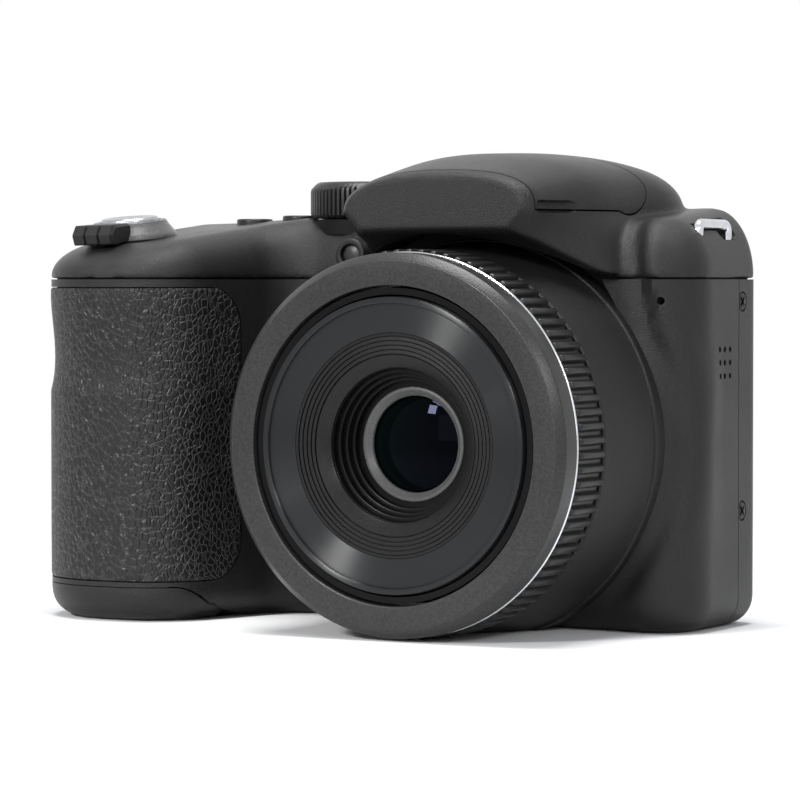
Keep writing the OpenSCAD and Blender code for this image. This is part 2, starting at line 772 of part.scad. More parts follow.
// Gloss annulus, stepped ribs and the well down to the front glass
module front_trim_ring() color("#15161a") {
    rib_steps = 5;
    on_lens_axis() rotate_extrude() polygon(concat(
        [[front_barrel_r, lens_front - 1.5], [front_barrel_r, lens_front - 0.35],
            [front_barrel_r - 0.4, lens_front - 0.1], [rib_r, lens_front - 0.25]],
        [for (i = [0 : rib_steps - 1]) each [
            [rib_r - i * rib_pitch, lens_front - 0.25 - (i + 1) * rib_drop],
            [rib_r - (i + 1) * rib_pitch, lens_front - 0.25 - (i + 1) * rib_drop]
        ]],
        [[front_glass_r + 0.2, retainer_end + 0.6], [front_glass_r + 0.2, retainer_end + 0.05],
            [front_glass_r + 1.6, retainer_end + 0.05],
            [rib_r - rib_steps * rib_pitch + 0.6, lens_front - 3.2], [front_barrel_r - 1.6, lens_front - 1.5]]
    ));
}

module lens_retainer() color("#55565a")
    lens_ring(retainer_end - 1.1, retainer_end, front_glass_r - 1.7, front_glass_r);

module front_lens() color("#303a48") on_lens_axis() {
    rise = 0.9;
    rim_r = front_glass_r - 1.75;
    ball_r = (rim_r * rim_r + rise * rise) / (2 * rise);
    translate([0, 0, glass_start]) cylinder(h = retainer_end - 1.15 - glass_start, r = front_glass_r);
    intersection() {
        translate([0, 0, retainer_end - 1.15 + rise - ball_r]) sphere(r = ball_r);
        translate([0, 0, glass_start + 1]) cylinder(h = 10, r = rim_r);
    }
}

module rear_lens() color("#9fb4c4") on_lens_axis() translate([0, 0, -chassis_y + 2.2]) cylinder(h = 2.4, r = 7);

module image_sensor() color("#4a5a4a") block([-5, chassis_y - 1, lens_z - 4], [5, chassis_y, lens_z + 4]);

// Flash

module flash_lid() color("#3c3c3e") {
    difference() {
        intersection() {
            hump_solid();
            lid_bar(0);
        }
        difference() {
            hump_solid(1.4, 1.2, 1.2);
            along_x(-lid_axis_y, lid_axis_z, -60, 60, lid_boss_r);
            block([-60, -lid_axis_y + 2, 60], [60, 60, 100]);
        }
        along_x(-lid_axis_y, lid_axis_z, -lid_ear_x - 2.7, lid_ear_x + 2.7, lid_pin_r + pin_gap);
        for (s = [-1, 1]) block([s * lid_ear_x - lid_ear_t / 2 - run, -lid_axis_y - 4, 60],
            [s * lid_ear_x + lid_ear_t / 2 + run, 10, lid_axis_z + lid_boss_r]);
        block([-window_half, -60, lid_z + 1], [window_half, -lid_front + 3, lid_z + 4.6]);
    }
}

module flash_reflector() color("#c9cacd") difference() {
    block([-window_half + 1, -lid_front + 3.6, lid_z + 0.8], [window_half - 1, -lid_front + 12, lid_z + 5.4]);
    block([-window_half + 1.8, -lid_front, lid_z + 1.5], [window_half - 1.8, -lid_front + 10, lid_z + 4.7]);
}

module flash_tube() color("#dfe6ea")
    along_x(-lid_front + 8.5, lid_z + 3.1, -window_half + 2, window_half - 2, 1);

module flash_window() color("#d6dadd")
    block([-window_half + 0.15, -lid_front + 1.4, lid_z + 1.15], [window_half - 0.15, -lid_front + 3.4, lid_z + 4.45]);

module flash_hinge_pin() color("#b8b8bc") for (s = [-1, 1])
    along_x(-lid_axis_y, lid_axis_z, s * lid_ear_x - 2.5, s * lid_ear_x + 2.5, lid_pin_r);

module flash_capacitor() color("#26314a") translate([30.6, -1.5, wall]) cylinder(h = 17, r = 4);

// Controls on the top

// Places a shape on the sloping top over the grip, square to the slope
module shutter_axis() {
    translate([shutter_spot[0], shutter_spot[1], top_at(shutter_spot)])
        rotate([atan(top_slope[1]), -atan(top_slope[0]), 0]) children();
}

module shutter_button() color("#b4b4b8") shutter_axis() difference() {
    union() {
        translate([0, 0, 1.9]) cylinder(h = 2.9, r = shutter_r);
        translate([0, 0, -wall - 0.4]) cylinder(h = wall + 2.5, r = stem_r);
    }
    translate([0, 0, 4.2 + dish_r]) sphere(r = dish_r);
}

module zoom_lever() color("#6c6c70") shutter_axis() {
    difference() {
        translate([0, 0, run]) cylinder(h = 3.9, r1 = lever_r, r2 = lever_r - 1);
        translate([0, 0, 1.1]) cylinder(h = 10, r = shutter_r + 0.3);
        cylinder(h = 10, r = stem_r + 0.3);
    }
    difference() {
        translate([-3.2, -lever_r - 4.6, 0.8]) cube([6.4, 5.6, 3]);
        for (i = [-1 : 1]) translate([i * 1.8 - 0.45, -lever_r - 5, 3.2]) cube([0.9, 3.4, 2]);
    }
}

module mode_dial() color("#2e2e30") translate([dial_spot[0], dial_spot[1], top_at(dial_spot) + 1.1]) {
    linear_extrude(5.6) toothed(48, dial_r - 0.5, dial_r, 0.7, 0.4);
    translate([0, 0, 5.5]) cylinder(h = 0.9, r1 = dial_r - 0.6, r2 = dial_r - 1.2);
    translate([0, 0, -4.6]) cylinder(h = 5, r = dial_stem_r);
}

// Round button in the top, with a stem that reaches down to its switch
module top_button(spot) {
    top = top_at(spot);
    translate([spot[0], spot[1], top - wall - 1.6]) cylinder(h = wall + 1.6 + button_proud, r = button_r);
    translate([spot[0], spot[1], top - wall - 1.6]) cylinder(h = 1, r = button_r + 0.7);
    translate([spot[0], spot[1], top_board_z + 1.9]) cylinder(h = top - wall - top_board_z - 2.8, r = 1);
}

module power_button() color("#4a4a4d") top_button(power_spot);

module burst_button() color("#4a4a4d") top_button(burst_spot);

module af_lamp() color("#2a2626") along_y(lamp_spot[0], lamp_spot[1], -lamp_front, -5.5, lamp_r);

// Half the length of a strap lug's bar, and the height of the bar
function lug_half(x) = x > 0 ? 5.6 : 4.5;
function lug_crown(x) = seam_z + (x > 0 ? 9.1 : 9.6);

// Bent wire loops on the two shoulders
module strap_lugs() color("#c6c6ca") for (x = lug_xs) {
    crown = lug_crown(x);
    ends = [lug_y - lug_half(x), lug_y + lug_half(x)];
    for (y = ends) translate([x, y, seam_z + 4]) cylinder(h = crown - seam_z - 4, r = lug_r);
    for (y = ends) translate([x, y, crown]) sphere(r = lug_r);
    along_y(x, crown, ends[0], ends[1], lug_r);
}

// Screen and controls on the rear

module lcd_window() color("#101114") {
    half = [window_w, window_h] / 2;
    block([window_spot[0] - half[0], rear_y - window_t, window_spot[1] - half[1]],
        [window_spot[0] + half[0], rear_y, window_spot[1] + half[1]]);
}

module lcd_panel() color("#2a3038") {
    half = [window_w, window_h] / 2 - [3, 3];
    block([window_spot[0] - half[0], board_y + board_t + 0.2, window_spot[1] - half[1]],
        [window_spot[0] + half[0], rear_y - window_t - 0.2, window_spot[1] + half[1]]);
}

// Stem of a rear button, reaching forward to its switch
module rear_stem(spot) along_y(spot[0], spot[1], board_y + board_t + 0.7, inner_rear - 1, 1);

module rear_button(spot) {
    along_y(spot[0], spot[1], inner_rear - 1.8, rear_y + button_proud, button_r);
    along_y(spot[0], spot[1], inner_rear - 1.8, inner_rear - 0.6, button_r + 0.8);
    rear_stem(spot);
}

module four_way_pad() color("#333336") {
    difference() {
        union() {
            along_y(pad_spot[0], pad_spot[1], inner_rear - 1.8, rear_y + button_proud, pad_r);
            along_y(pad_spot[0], pad_spot[1], inner_rear - 1.8, inner_rear - 0.6, pad_r + 0.8);
        }
        along_y(pad_spot[0], pad_spot[1], 0, rear_y + 10, ok_r + seam);
    }
    for (a = [0 : 90 : 270]) rear_stem(pad_spot + 7 * [cos(a), sin(a)]);
}

module ok_button() color("#3c3c40") {
    along_y(pad_spot[0], pad_spot[1], inner_rear - 1.8, rear_y + button_proud - 0.2, ok_r);
    rear_stem(pad_spot);
}

module menu_button() color("#333336") rear_button(key_spot(1, 1));

module play_button() color("#333336") rear_button(key_spot(-1, 1));

module delete_button() color("#333336") rear_button(key_spot(1, -1));

module video_button() color("#333336") rear_button(key_spot(-1, -1));

// Inside

module chassis() color("#8b8d90") {
    right = flank_x - wall - 1.2;
    difference() {
        block([-38, chassis_y, wall + run], [right - 2, chassis_y + chassis_t, seam_z + 2.6]);
        block([-7, 0, 0], [7, 20, tripod_l + 2.4]);
        along_y(0, lens_z, 0, 20, 4);
    }
    lens_ring(-chassis_y, -chassis_y + 4.8, 7 + pin_gap, 9);
    for (x = [-30, 26]) for (z = [12, 52]) along_y(x, z, chassis_y + chassis_t - 0.1, board_y, 2);
    for (z = screw_zs) difference() {
        block([right - 3.4, chassis_y, z - 2.6], [right, screw_y + 2, z + 2.6]);
        along_x(screw_y, z, right - 5, right + past, screw_head_r / 2 + pin_gap);
    }
    for (x = base_screw_xs) difference() {
        block([x - 2.4, chassis_y, wall + run], [x + 2.4, screw_y + 4.4, wall + 4]);
        translate([x, screw_y + 2, 0]) cylinder(h = 20, r = screw_head_r / 2 + pin_gap);
    }
}

module main_board() color("#2f5a3a")
    block([-grip_x + socket_end, board_y, wall + 5.6], [flank_x - wall - 5, board_y + board_t, seam_z - 1]);

module top_board() color("#2f5a3a") intersection() {
    housing_prism(wall + 5, top_board_z, top_board_z + 1);
    block([-100, -100, 0], [-hollow_x, chassis_y - 1, 100]);
}

module battery_box() color("#2b2b2d") difference() {
    intersection() {
        union() {
            for (c = cell_spots) translate([c[0], c[1], box_z]) cylinder(h = box_top - box_z, r = cell_r + cell_gap + box_wall);
            translate([0, 0, box_z]) linear_extrude(box_top - box_z) polygon(cell_order);
        }
        housing_prism(wall + 0.6, 0, 100);
    }
    for (c = cell_spots) translate([c[0], c[1], 0]) cylinder(h = cell_z + cell_l + 0.4, r = cell_r + cell_gap);
}

module battery_cells() color("#c9b458") for (c = cell_spots) translate([c[0], c[1], cell_z]) {
    cylinder(h = cell_l - 1.2, r = cell_r);
    cylinder(h = cell_l, r = 2.6);
}

module battery_contacts() color("#d2cdb8") for (c = cell_spots)
    translate([c[0], c[1], cell_z + cell_l]) cylinder(h = 0.4, r = 4.5);

module card_slot() color("#a9a9ad") difference() {
    low = [-grip_x + 8, cell_spots[3][1] + cell_r + 1.1, door_h + 1];
    block(low, low + [28, 3.2, 32]);
    block(low + [2, 0.5, -past], low + [26, 2.7, 29]);
}

module speaker() color("#3a3a3a") {
    face = flank_x - wall - 0.7;
    along_x(speaker_spot[0], speaker_spot[1], face - 3.4, face, 6);
}

module microphone() color("#a0a0a4") along_y(mic_spot[0] - 0.6, mic_spot[1], -9.2, -6.6, 1.5);

module tripod_hole() translate([0, tripod_y, -past]) cylinder(h = wall + 2 * past, r = tripod_r + 0.85);

module tripod_bush() color("#b9b9be") translate([0, tripod_y, 0]) difference() {
    union() {
        cylinder(h = tripod_l + 1, r = tripod_r + 0.8);
        translate([0, 0, wall]) cylinder(h = 1, r = tripod_r + 1.2);
    }
    translate([0, 0, -past]) cylinder(h = tripod_l + past, r = tripod_r);
}

// Screw along +Z, with its head at the bottom
module screw(length) {
    cylinder(h = 1.2, r = screw_head_r);
    cylinder(h = length, r = screw_head_r / 2);
}

module cover_screws() color("#6a6a6e") {
    for (z = screw_zs) translate([flank_x - 0.4, screw_y, z]) rotate([0, -90, 0]) screw(5);
    for (x = base_screw_xs) translate([x, screw_y + 2, 0.05]) screw(5.6);
}

front_cover();
rear_cover();
top_cover();
grip_rubber();
battery_door();
battery_latch();
door_hinge_pin();
port_cover();
usb_socket();
front_bezel();
chrome_ring();
knurled_ring();
lens_housing();
cam_ring();
outer_barrel();
front_barrel();
front_trim_ring();
lens_retainer();
front_lens();
second_lens();
rear_lens();
image_sensor();
zoom_motor();
zoom_gear();
flash_lid();
flash_reflector();
flash_tube();
flash_window();
flash_hinge_pin();
flash_capacitor();
shutter_button();
zoom_lever();
mode_dial();
power_button();
burst_button();
af_lamp();
strap_lugs();
lcd_window();
lcd_panel();
four_way_pad();
ok_button();
menu_button();
play_button();
delete_button();
video_button();
chassis();
main_board();
top_board();
battery_box();
battery_cells();
battery_contacts();
card_slot();
speaker();
microphone();
tripod_bush();
cover_screws();
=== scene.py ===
import json
import math

import bmesh
import bpy
import numpy as np
from mathutils import Matrix, Vector


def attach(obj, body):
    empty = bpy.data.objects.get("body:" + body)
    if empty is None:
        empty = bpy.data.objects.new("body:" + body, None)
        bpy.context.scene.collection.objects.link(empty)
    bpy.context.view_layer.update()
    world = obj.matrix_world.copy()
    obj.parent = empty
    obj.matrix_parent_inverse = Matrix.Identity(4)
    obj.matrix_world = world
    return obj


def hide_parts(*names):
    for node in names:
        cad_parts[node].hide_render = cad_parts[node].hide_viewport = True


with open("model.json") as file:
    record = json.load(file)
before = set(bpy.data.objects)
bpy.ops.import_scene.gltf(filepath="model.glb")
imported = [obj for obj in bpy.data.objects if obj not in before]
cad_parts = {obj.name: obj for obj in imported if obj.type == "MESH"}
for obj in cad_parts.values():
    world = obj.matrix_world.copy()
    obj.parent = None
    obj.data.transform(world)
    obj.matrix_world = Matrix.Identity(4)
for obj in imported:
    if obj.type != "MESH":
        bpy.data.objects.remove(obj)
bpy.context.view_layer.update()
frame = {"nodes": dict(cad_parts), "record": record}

# Pieces are modelled in millimetres and turned into metres when they are finished
MM = 0.001

# Housing sizes, the same as in the solids apart from the rubber, which reaches 1.1 mm lower
FLANK_X = 38.3
GRIP_X = 79.6
REAR_Y = 17.0
FACE_Y = 14.5
GRIP_Y = 36.0
FINGER_X = 49.0
HOLLOW_X = 41.0
HOLLOW_Y = 7.5
BASE_R = 5.0
SEAM_Z = 58.2
TOP_Z = 68.4
TOP_SLOPE = (0.02, 0.1)
SHOULDER_R = 9.0
SEAM_Y = 6.8
SEAM = 0.2
SHOULDER_SHARE = (0.5, 1, 1, 0.8, 0.8, 0.9)
EVEN_SHARE = (1, 1, 1, 1, 1, 1)
OUTLINE = (
    (FLANK_X - 0.8, REAR_Y, 5),
    (-GRIP_X, REAR_Y, 4),
    (-GRIP_X, -GRIP_Y, 17),
    (-FINGER_X, -GRIP_Y, 13),
    (-HOLLOW_X, -HOLLOW_Y, 8),
    (FLANK_X, -FACE_Y, 9),
)
CORNER_MIN = 0.6
RUBBER_Z = (6.9, 56.8)
RUBBER_SIDE_Y = -10.0
FINGER_Z = (39.0, 54.8)
FINGER_DEPTH = 0.72
RUBBER_EDGE_X = -HOLLOW_X - 3.1
DOOR_H = 6.0
DOOR_X = -49.5
EAR_YS = (-20.0, 3.4)
EAR_T = 2.6
EAR_R = 2.4

# Lens sizes, as radii and distances in front of the origin
LENS_Z = 31.5
RING_R = 31.2
SKIRT_R = 33.4
SKIRT_RIM = 15.5
SKIRT_END = 29.5
LENS_FRONT = 44.5
KNURL_START = SKIRT_END + 0.4
CHROME_START = LENS_FRONT - 5.7
BEZEL_START = CHROME_START + 0.7
HOUSING_R = 28.9
RIDGES = 86

# Controls
SHUTTER = (-65.7, -20.0)
DIAL = (-31.3, 2.0)
POWER = (-54.0, 2.0)
BURST = (-44.5, 2.0)
LAMP = (-26.2, 62.4)
PAD = (-54.0, 26.0)
WINDOW = (2.0, 31.0)
WINDOW_SIZE = (64.0, 48.0)
PORT = (10.0, 34.0)
PORT_SIZE = (5.0, 14.0)
PORT_FLAP_T = 1.2
TRIPOD_Y = 10.2


# Mesh helpers

def new_object(name, points, faces):
    mesh = bpy.data.meshes.new(name)
    mesh.from_pydata([tuple(map(float, p)) for p in points], [], faces)
    mesh.update()
    obj = bpy.data.objects.new(name, mesh)
    bpy.context.collection.objects.link(obj)
    return obj


def bake(obj):
    """Applies the object's modifiers to its mesh."""
    depsgraph = bpy.context.evaluated_depsgraph_get()
    mesh = bpy.data.meshes.new_from_object(obj.evaluated_get(depsgraph))
    obj.modifiers.clear()
    obj.data = mesh
    return obj


def combine(obj, other, operation):
    """Joins or cuts a closed mesh with another one, which is then removed."""
    modifier = obj.modifiers.new("combine", "BOOLEAN")
    modifier.operation = operation
    modifier.object = other
    modifier.solver = "MANIFOLD"
    bake(obj)
    bpy.data.objects.remove(other)
    return obj


def cut(obj, *cutters):
    for cutter in cutters:
        combine(obj, cutter, "DIFFERENCE")
    return obj


def copy_of(obj, name):
    twin = obj.copy()
    twin.data = obj.data.copy()
    twin.name = name
    bpy.context.collection.objects.link(twin)
    return twin


def tube(rings, name):
    """Closed mesh through rings of equally many points, with a flat face at each end."""
    count = len(rings[0])
    points = [p for ring in rings for p in ring]
    faces = []
    for k in range(len(rings) - 1):
        for i in range(count):
            j = (i + 1) % count
            faces.append((k * count + i, k * count + j, (k + 1) * count + j, (k + 1) * count + i))
    faces.append(tuple(range(count - 1, -1, -1)))
    last = (len(rings) - 1) * count
    faces.append(tuple(range(last, last + count)))
    return new_object(name, points, faces)


def grid_torus(rows, name):
    """Closed mesh of rows of points that wrap round both ways."""
    count = len(rows[0])
    points = [p for row in rows for p in row]
    faces = []
    for k in range(len(rows)):
        n = (k + 1) % len(rows)
        for i in range(count):
            j = (i + 1) % count
            faces.append((k * count + i, k * count + j, n * count + j, n * count + i))
    return new_object(name, points, faces)


def revolve(profile, name, segments=192):
    """Ring round the lens axis from a closed profile of (radius, distance in front of the origin)."""
    turns = [2 * math.pi * i / segments for i in range(segments)]
    rows = [[(r * math.cos(a), -d, LENS_Z + r * math.sin(a)) for a in turns] for r, d in profile]
    return face_outward(grid_torus(rows, name))


def face_outward(obj):
    mesh = bmesh.new()
    mesh.from_mesh(obj.data)
    bmesh.ops.recalc_face_normals(mesh, faces=mesh.faces)
    mesh.to_mesh(obj.data)
    mesh.free()
    return obj


BOX_FACES = [(0, 2, 3, 1), (4, 5, 7, 6), (0, 1, 5, 4), (2, 6, 7, 3), (0, 4, 6, 2), (1, 3, 7, 5)]


def block(low, high, name="block"):
    (x0, y0, z0), (x1, y1, z1) = low, high
    points = [(x, y, z) for z in (z0, z1) for y in (y0, y1) for x in (x0, x1)]
    return new_object(name, points, BOX_FACES)


def circle(centre, side, other, radius, segments):
    """Points round a centre, in the plane of two directions."""
    turns = [2 * math.pi * i / segments for i in range(segments)]
    return [centre + (side * math.cos(a) + other * math.sin(a)) * radius for a in turns]


def turned(centre, axis, profile, name, segments):
    """Mesh turned about an axis through a centre: the profile is (radius, distance along the axis)."""
    axis = Vector(axis).normalized()
    side = axis.orthogonal().normalized()
    other = axis.cross(side)
    rings = [circle(Vector(centre) + axis * t, side, other, r, segments) for r, t in profile]
    return tube(rings, name)


def rod(centre, axis, radius, start, end, name="rod", segments=64):
    """Cylinder about an axis through a centre, between two distances along the axis."""
    return turned(centre, axis, ((radius, start), (radius, end)), name, segments)


def lathe(centre, axis, profile, name, segments=96):
    """Solid turned about an axis, from a profile that starts and ends on the axis."""
    return face_outward(turned(centre, axis, profile, name, segments))


def mark_sharp(obj, degrees=32):
    """Smooth shading, with creases where faces meet at more than the angle."""
    mesh = bmesh.new()
    mesh.from_mesh(obj.data)
    limit = math.radians(degrees)
    for face in mesh.faces:
        face.smooth = True
    for edge in mesh.edges:
        if len(edge.link_faces) == 2:
            edge.smooth = edge.calc_face_angle(0.0) < limit
    mesh.to_mesh(obj.data)
    mesh.free()


def finish_piece(obj, body, material, replaces, sharp=32):
    """Turns a piece into metres, gives it its look, hangs it on the body it rides on, and hides the parts it
    stands for.
    """
    obj.data.transform(Matrix.Scale(MM, 4))
    mark_sharp(obj, sharp)
    obj.data.materials.clear()
    obj.data.materials.append(material)
    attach(obj, body)
    for node in replaces:
        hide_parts(node)
    return obj


# Housing outline

def edge_normal(corners, i):
    a, b = corners[i], corners[(i + 1) % len(corners)]
    dx, dy = b[0] - a[0], b[1] - a[1]
    size = math.hypot(dx, dy)
    return np.array((dy / size, -dx / size))


def rounded_outline(corners, inset=0.0, share=EVEN_SHARE, arc=14):
    """Points of an outline with rounded corners, its edges drawn in by their share of the inset."""
    count = len(corners)
    arcs = []
    for i in range(count):
        k = (i - 1) % count
        n1, n2 = edge_normal(corners, k), edge_normal(corners, i)
        cosine = float(n1 @ n2)
        d1, d2 = inset * share[k], inset * share[i]
        spread = 1 - cosine * cosine
        q = -(d1 - cosine * d2) / spread * n1 - (d2 - cosine * d1) / spread * n2
        side = 1 if n1[0] * n2[1] - n1[1] * n2[0] > 0 else -1
        r = max(corners[i][2] - side * (d1 + d2) / 2, CORNER_MIN)
        centre = np.array(corners[i][:2]) + q - side * r / (1 + cosine) * (n1 + n2)
        start = math.atan2(n1[1], n1[0])
        turn = side * math.acos(cosine)
        turns = [start + turn * j / arc for j in range(arc + 1)]
        arcs.append([centre + side * r * np.array((math.cos(a), math.sin(a))) for a in turns])
    points = []
    for i in range(count):
        points += arcs[i]
        a, b = arcs[i][-1], arcs[(i + 1) % count][0]
        pieces = EDGE_STEPS[i] if count == len(EDGE_STEPS) and corners is OUTLINE else 4
        points += [a + (b - a) * t / pieces for t in range(1, pieces)]
    return np.array(points)


# Pieces along each straight edge of the housing's outline, the same at every height
EDGE_STEPS = (40, 30, 4, 14, 48, 20)


def smooth_step(low, high, value):
    t = np.clip((value - low) / (high - low), 0, 1)
    return t * t * (3 - 2 * t)


def top_plane(x, y):
    """Height of the plain sloping top, which the solids use."""
    return TOP_Z + TOP_SLOPE[0] * x + TOP_SLOPE[1] * y


def top_at(x, y):
    """Height of the top, fuller beside the hump and towards the front."""
    fuller = 1.5 - 0.08 * y
    return top_plane(x, y) + fuller * smooth_step(-57, -36, x) * smooth_step(4, -22, x)


# Camera, fitted to the photograph

AZIMUTH = math.radians(29.5)
PITCH = math.radians(1.80)
FOCAL_PX = 3819.8
FRAME_PX = 800
EYE = (302.4, -575.7, 58.1)


def add_camera():
    data = bpy.data.cameras.new("camera")
    data.sensor_width = 36
    data.lens = data.sensor_width * FOCAL_PX / FRAME_PX
    camera = bpy.data.objects.new("camera", data)
    bpy.context.collection.objects.link(camera)
    right = Vector((math.cos(AZIMUTH), math.sin(AZIMUTH), 0))
    forward = Vector((-math.sin(AZIMUTH) * math.cos(PITCH), math.cos(AZIMUTH) * math.cos(PITCH),
                      -math.sin(PITCH)))
    up = right.cross(forward)
    turn = Matrix((right, up, -forward)).transposed().to_4x4()
    camera.matrix_world = Matrix.Translation(Vector(EYE) * MM) @ turn
    data.clip_end = 20
    bpy.context.scene.camera = camera


add_camera()


# Materials

def level(value):
    """Linear value of an sRGB level from 0 to 255."""
    c = value / 255
    return c / 12.92 if c <= 0.04045 else ((c + 0.055) / 1.055) ** 2.4


def shade(*levels):
    if len(levels) == 1:
        levels = levels * 3
    return tuple(level(v) for v in levels) + (1.0,)


class Nodes:
    """Short ways to add and link shader nodes of one material."""

    def __init__(self, name):
        self.material = bpy.data.materials.new(name)
        self.material.use_nodes = True
        self.tree = self.material.node_tree
        self.shader = self.tree.nodes["Principled BSDF"]
        self.place = self.tree.nodes.new("ShaderNodeTexCoord").outputs["Object"]

    def link(self, source, target):
        self.tree.links.new(source, target)

    def noise(self, scale, detail=3.0, rough=0.5, place=None):
        node = self.tree.nodes.new("ShaderNodeTexNoise")
        node.inputs["Scale"].default_value = scale
        node.inputs["Detail"].default_value = detail
        node.inputs["Roughness"].default_value = rough
        self.link(place or self.place, node.inputs["Vector"])
        return node.outputs["Fac"]

    def cell_edges(self, scale, place):
        """Distance to the nearest edge between uneven cells."""
        node = self.tree.nodes.new("ShaderNodeTexVoronoi")
        node.feature = "DISTANCE_TO_EDGE"
        node.inputs["Scale"].default_value = scale
        self.link(place, node.inputs["Vector"])
        return node.outputs["Distance"]

    def span(self, source, low, high, to_low, to_high):
        node = self.tree.nodes.new("ShaderNodeMapRange")
        node.inputs["From Min"].default_value = low
        node.inputs["From Max"].default_value = high
        node.inputs["To Min"].default_value = to_low
        node.inputs["To Max"].default_value = to_high
        self.link(source, node.inputs["Value"])
        return node.outputs["Result"]

    def blend(self, factor, first, second):
        node = self.tree.nodes.new("ShaderNodeMix")
        node.data_type = "RGBA"
        node.inputs["A"].default_value = first
        node.inputs["B"].default_value = second
        self.link(factor, node.inputs["Factor"])
        return node.outputs["Result"]

    def colour(self, source, low, high, first, second):
        """Blends the base colour from first to second while a value runs from low to high."""
        share = self.span(source, low, high, 0.0, 1.0)
        self.link(self.blend(share, first, second), self.shader.inputs["Base Color"])

    def rough(self, source, low, high, smooth, dull):
        """Spreads the roughness from smooth to dull while a value runs from low to high."""
        self.link(self.span(source, low, high, smooth, dull), self.shader.inputs["Roughness"])

    def sum(self, first, second, weight):
        node = self.tree.nodes.new("ShaderNodeMath")
        node.operation = "MULTIPLY_ADD"
        node.inputs[1].default_value = weight
        self.link(second, node.inputs[0])
        self.link(first, node.inputs[2])
        return node.outputs["Value"]

    def bump(self, height, depth, strength=1.0):
        node = self.tree.nodes.new("ShaderNodeBump")
        node.inputs["Strength"].default_value = strength
        node.inputs["Distance"].default_value = depth
        self.link(height, node.inputs["Height"])
        self.link(node.outputs["Normal"], self.shader.inputs["Normal"])

    def set(self, **values):
        for key, value in values.items():
            self.shader.inputs[key.replace("_", " ")].default_value = value


def satin(name, dark, light, rough=0.42, grain=3800.0, depth=0.00004, spread=0.08, spec=0.5):
    """Moulded plastic with a fine sparkling grain."""
    nodes = Nodes(name)
    fine = nodes.noise(grain, 2.0)
    broad = nodes.noise(60.0, 3.0)
    nodes.colour(fine, 0.3, 0.7, dark, light)
    nodes.rough(broad, 0.3, 0.7, rough - spread, rough + spread)
    nodes.bump(fine, depth)
    nodes.set(Specular_IOR_Level=spec)
    return nodes.material


def leather(name, dark, light):
    """Rubber skin pressed with a leather grain: small uneven pebbles with narrow creases between them. Its
    base colour is lighter in the creases, a painted highlight on their slopes, with the skin's own random
    fine grain mixed in.
    """
    nodes = Nodes(name)
    waver = nodes.tree.nodes.new("ShaderNodeTexNoise")
    waver.inputs["Scale"].default_value = 500.0
    waver.inputs["Detail"].default_value = 2.0
    nodes.link(nodes.place, waver.inputs["Vector"])
    shift = nodes.tree.nodes.new("ShaderNodeVectorMath")
    shift.operation = "MULTIPLY_ADD"
    shift.inputs[1].default_value = (0.0012, 0.0012, 0.0012)
    nodes.link(waver.outputs["Color"], shift.inputs[0])
    nodes.link(nodes.place, shift.inputs[2])
    squash = nodes.tree.nodes.new("ShaderNodeMapping")
    squash.inputs["Scale"].default_value = (1.0, 1.0, 0.72)
    nodes.link(shift.outputs["Vector"], squash.inputs["Vector"])
    edge = nodes.cell_edges(1050.0, squash.outputs["Vector"])
    pebble = nodes.span(edge, 0.0, 0.16, 0.0, 1.0)
    fine = nodes.noise(2600.0, 2.0)
    height = nodes.sum(pebble, fine, 0.25)
    # Painted highlight: the creases get the lighter colour where light would catch their slopes; the fine
    # noise adds random grain.
    nodes.colour(height, 0.1, 1.1, light, dark)
    nodes.rough(height, 0.2, 1.1, 0.36, 0.46)
    nodes.bump(height, 0.00014)
    nodes.set(Specular_IOR_Level=0.35)
    return nodes.material


def metal(name, tone, rough=0.22, grain=1500.0, stretch=(1, 1, 1), depth=0.00001):
    """Metal with fine wear in its polish, brushed along one way when stretched."""
    nodes = Nodes(name)
    mapping = nodes.tree.nodes.new("ShaderNodeMapping")
    mapping.inputs["Scale"].default_value = stretch
    nodes.link(nodes.place, mapping.inputs["Vector"])
    streak = nodes.noise(grain, 4.0, 0.6, mapping.outputs["Vector"])
    nodes.set(Metallic=1.0)
    darker = tuple(0.86 * c for c in tone[:3]) + (1.0,)
    nodes.colour(streak, 0.3, 0.7, darker, tone)
    nodes.rough(streak, 0.3, 0.7, rough * 0.75, rough * 1.3)
    nodes.bump(streak, depth)
    return nodes.material


def gloss(name, tone, rough=0.08, tint=None):
    """Lacquered surface with faint dust in its polish."""
    nodes = Nodes(name)
    dust = nodes.noise(900.0, 4.0)
    second = tint or tuple(min(1.0, 1.25 * c) for c in tone[:3]) + (1.0,)
    nodes.colour(dust, 0.3, 0.7, tone, second)
    nodes.rough(dust, 0.35, 0.75, rough, rough * 1.8)
    nodes.bump(dust, 0.000004)
    return nodes.material


def clear_glass(name, tone, rough=0.0, ior=1.5):
    nodes = Nodes(name)
    dust = nodes.noise(600.0, 3.0)
    nodes.set(Transmission_Weight=1.0, IOR=ior)
    nodes.shader.inputs["Base Color"].default_value = tone
    nodes.rough(dust, 0.4, 0.8, rough, rough + 0.03)
    return nodes.material


def coated_glass(name):
    """Front glass: opaque and near black, painted shade of the dark lens inside, with a green painted sheen
    at a slant for its coating and a violet tint in its reflections.
    """
    nodes = Nodes(name)
    facing = nodes.tree.nodes.new("ShaderNodeLayerWeight")
    facing.inputs["Blend"].default_value = 0.35
    # Painted shade and sheen: near black stands for the dark lens inside, and the green at a slant stands for
    # the coating's reflection.
    tint = nodes.blend(facing.outputs["Facing"], shade(3, 3, 4), shade(8, 22, 20))
    nodes.link(tint, nodes.shader.inputs["Base Color"])
    dust = nodes.noise(500.0, 3.0)
    nodes.rough(dust, 0.4, 0.8, 0.01, 0.03)
    nodes.set(IOR=1.5)
    nodes.set(Specular_IOR_Level=0.03)
    nodes.shader.inputs["Specular Tint"].default_value = shade(200, 205, 255)
    return nodes.material


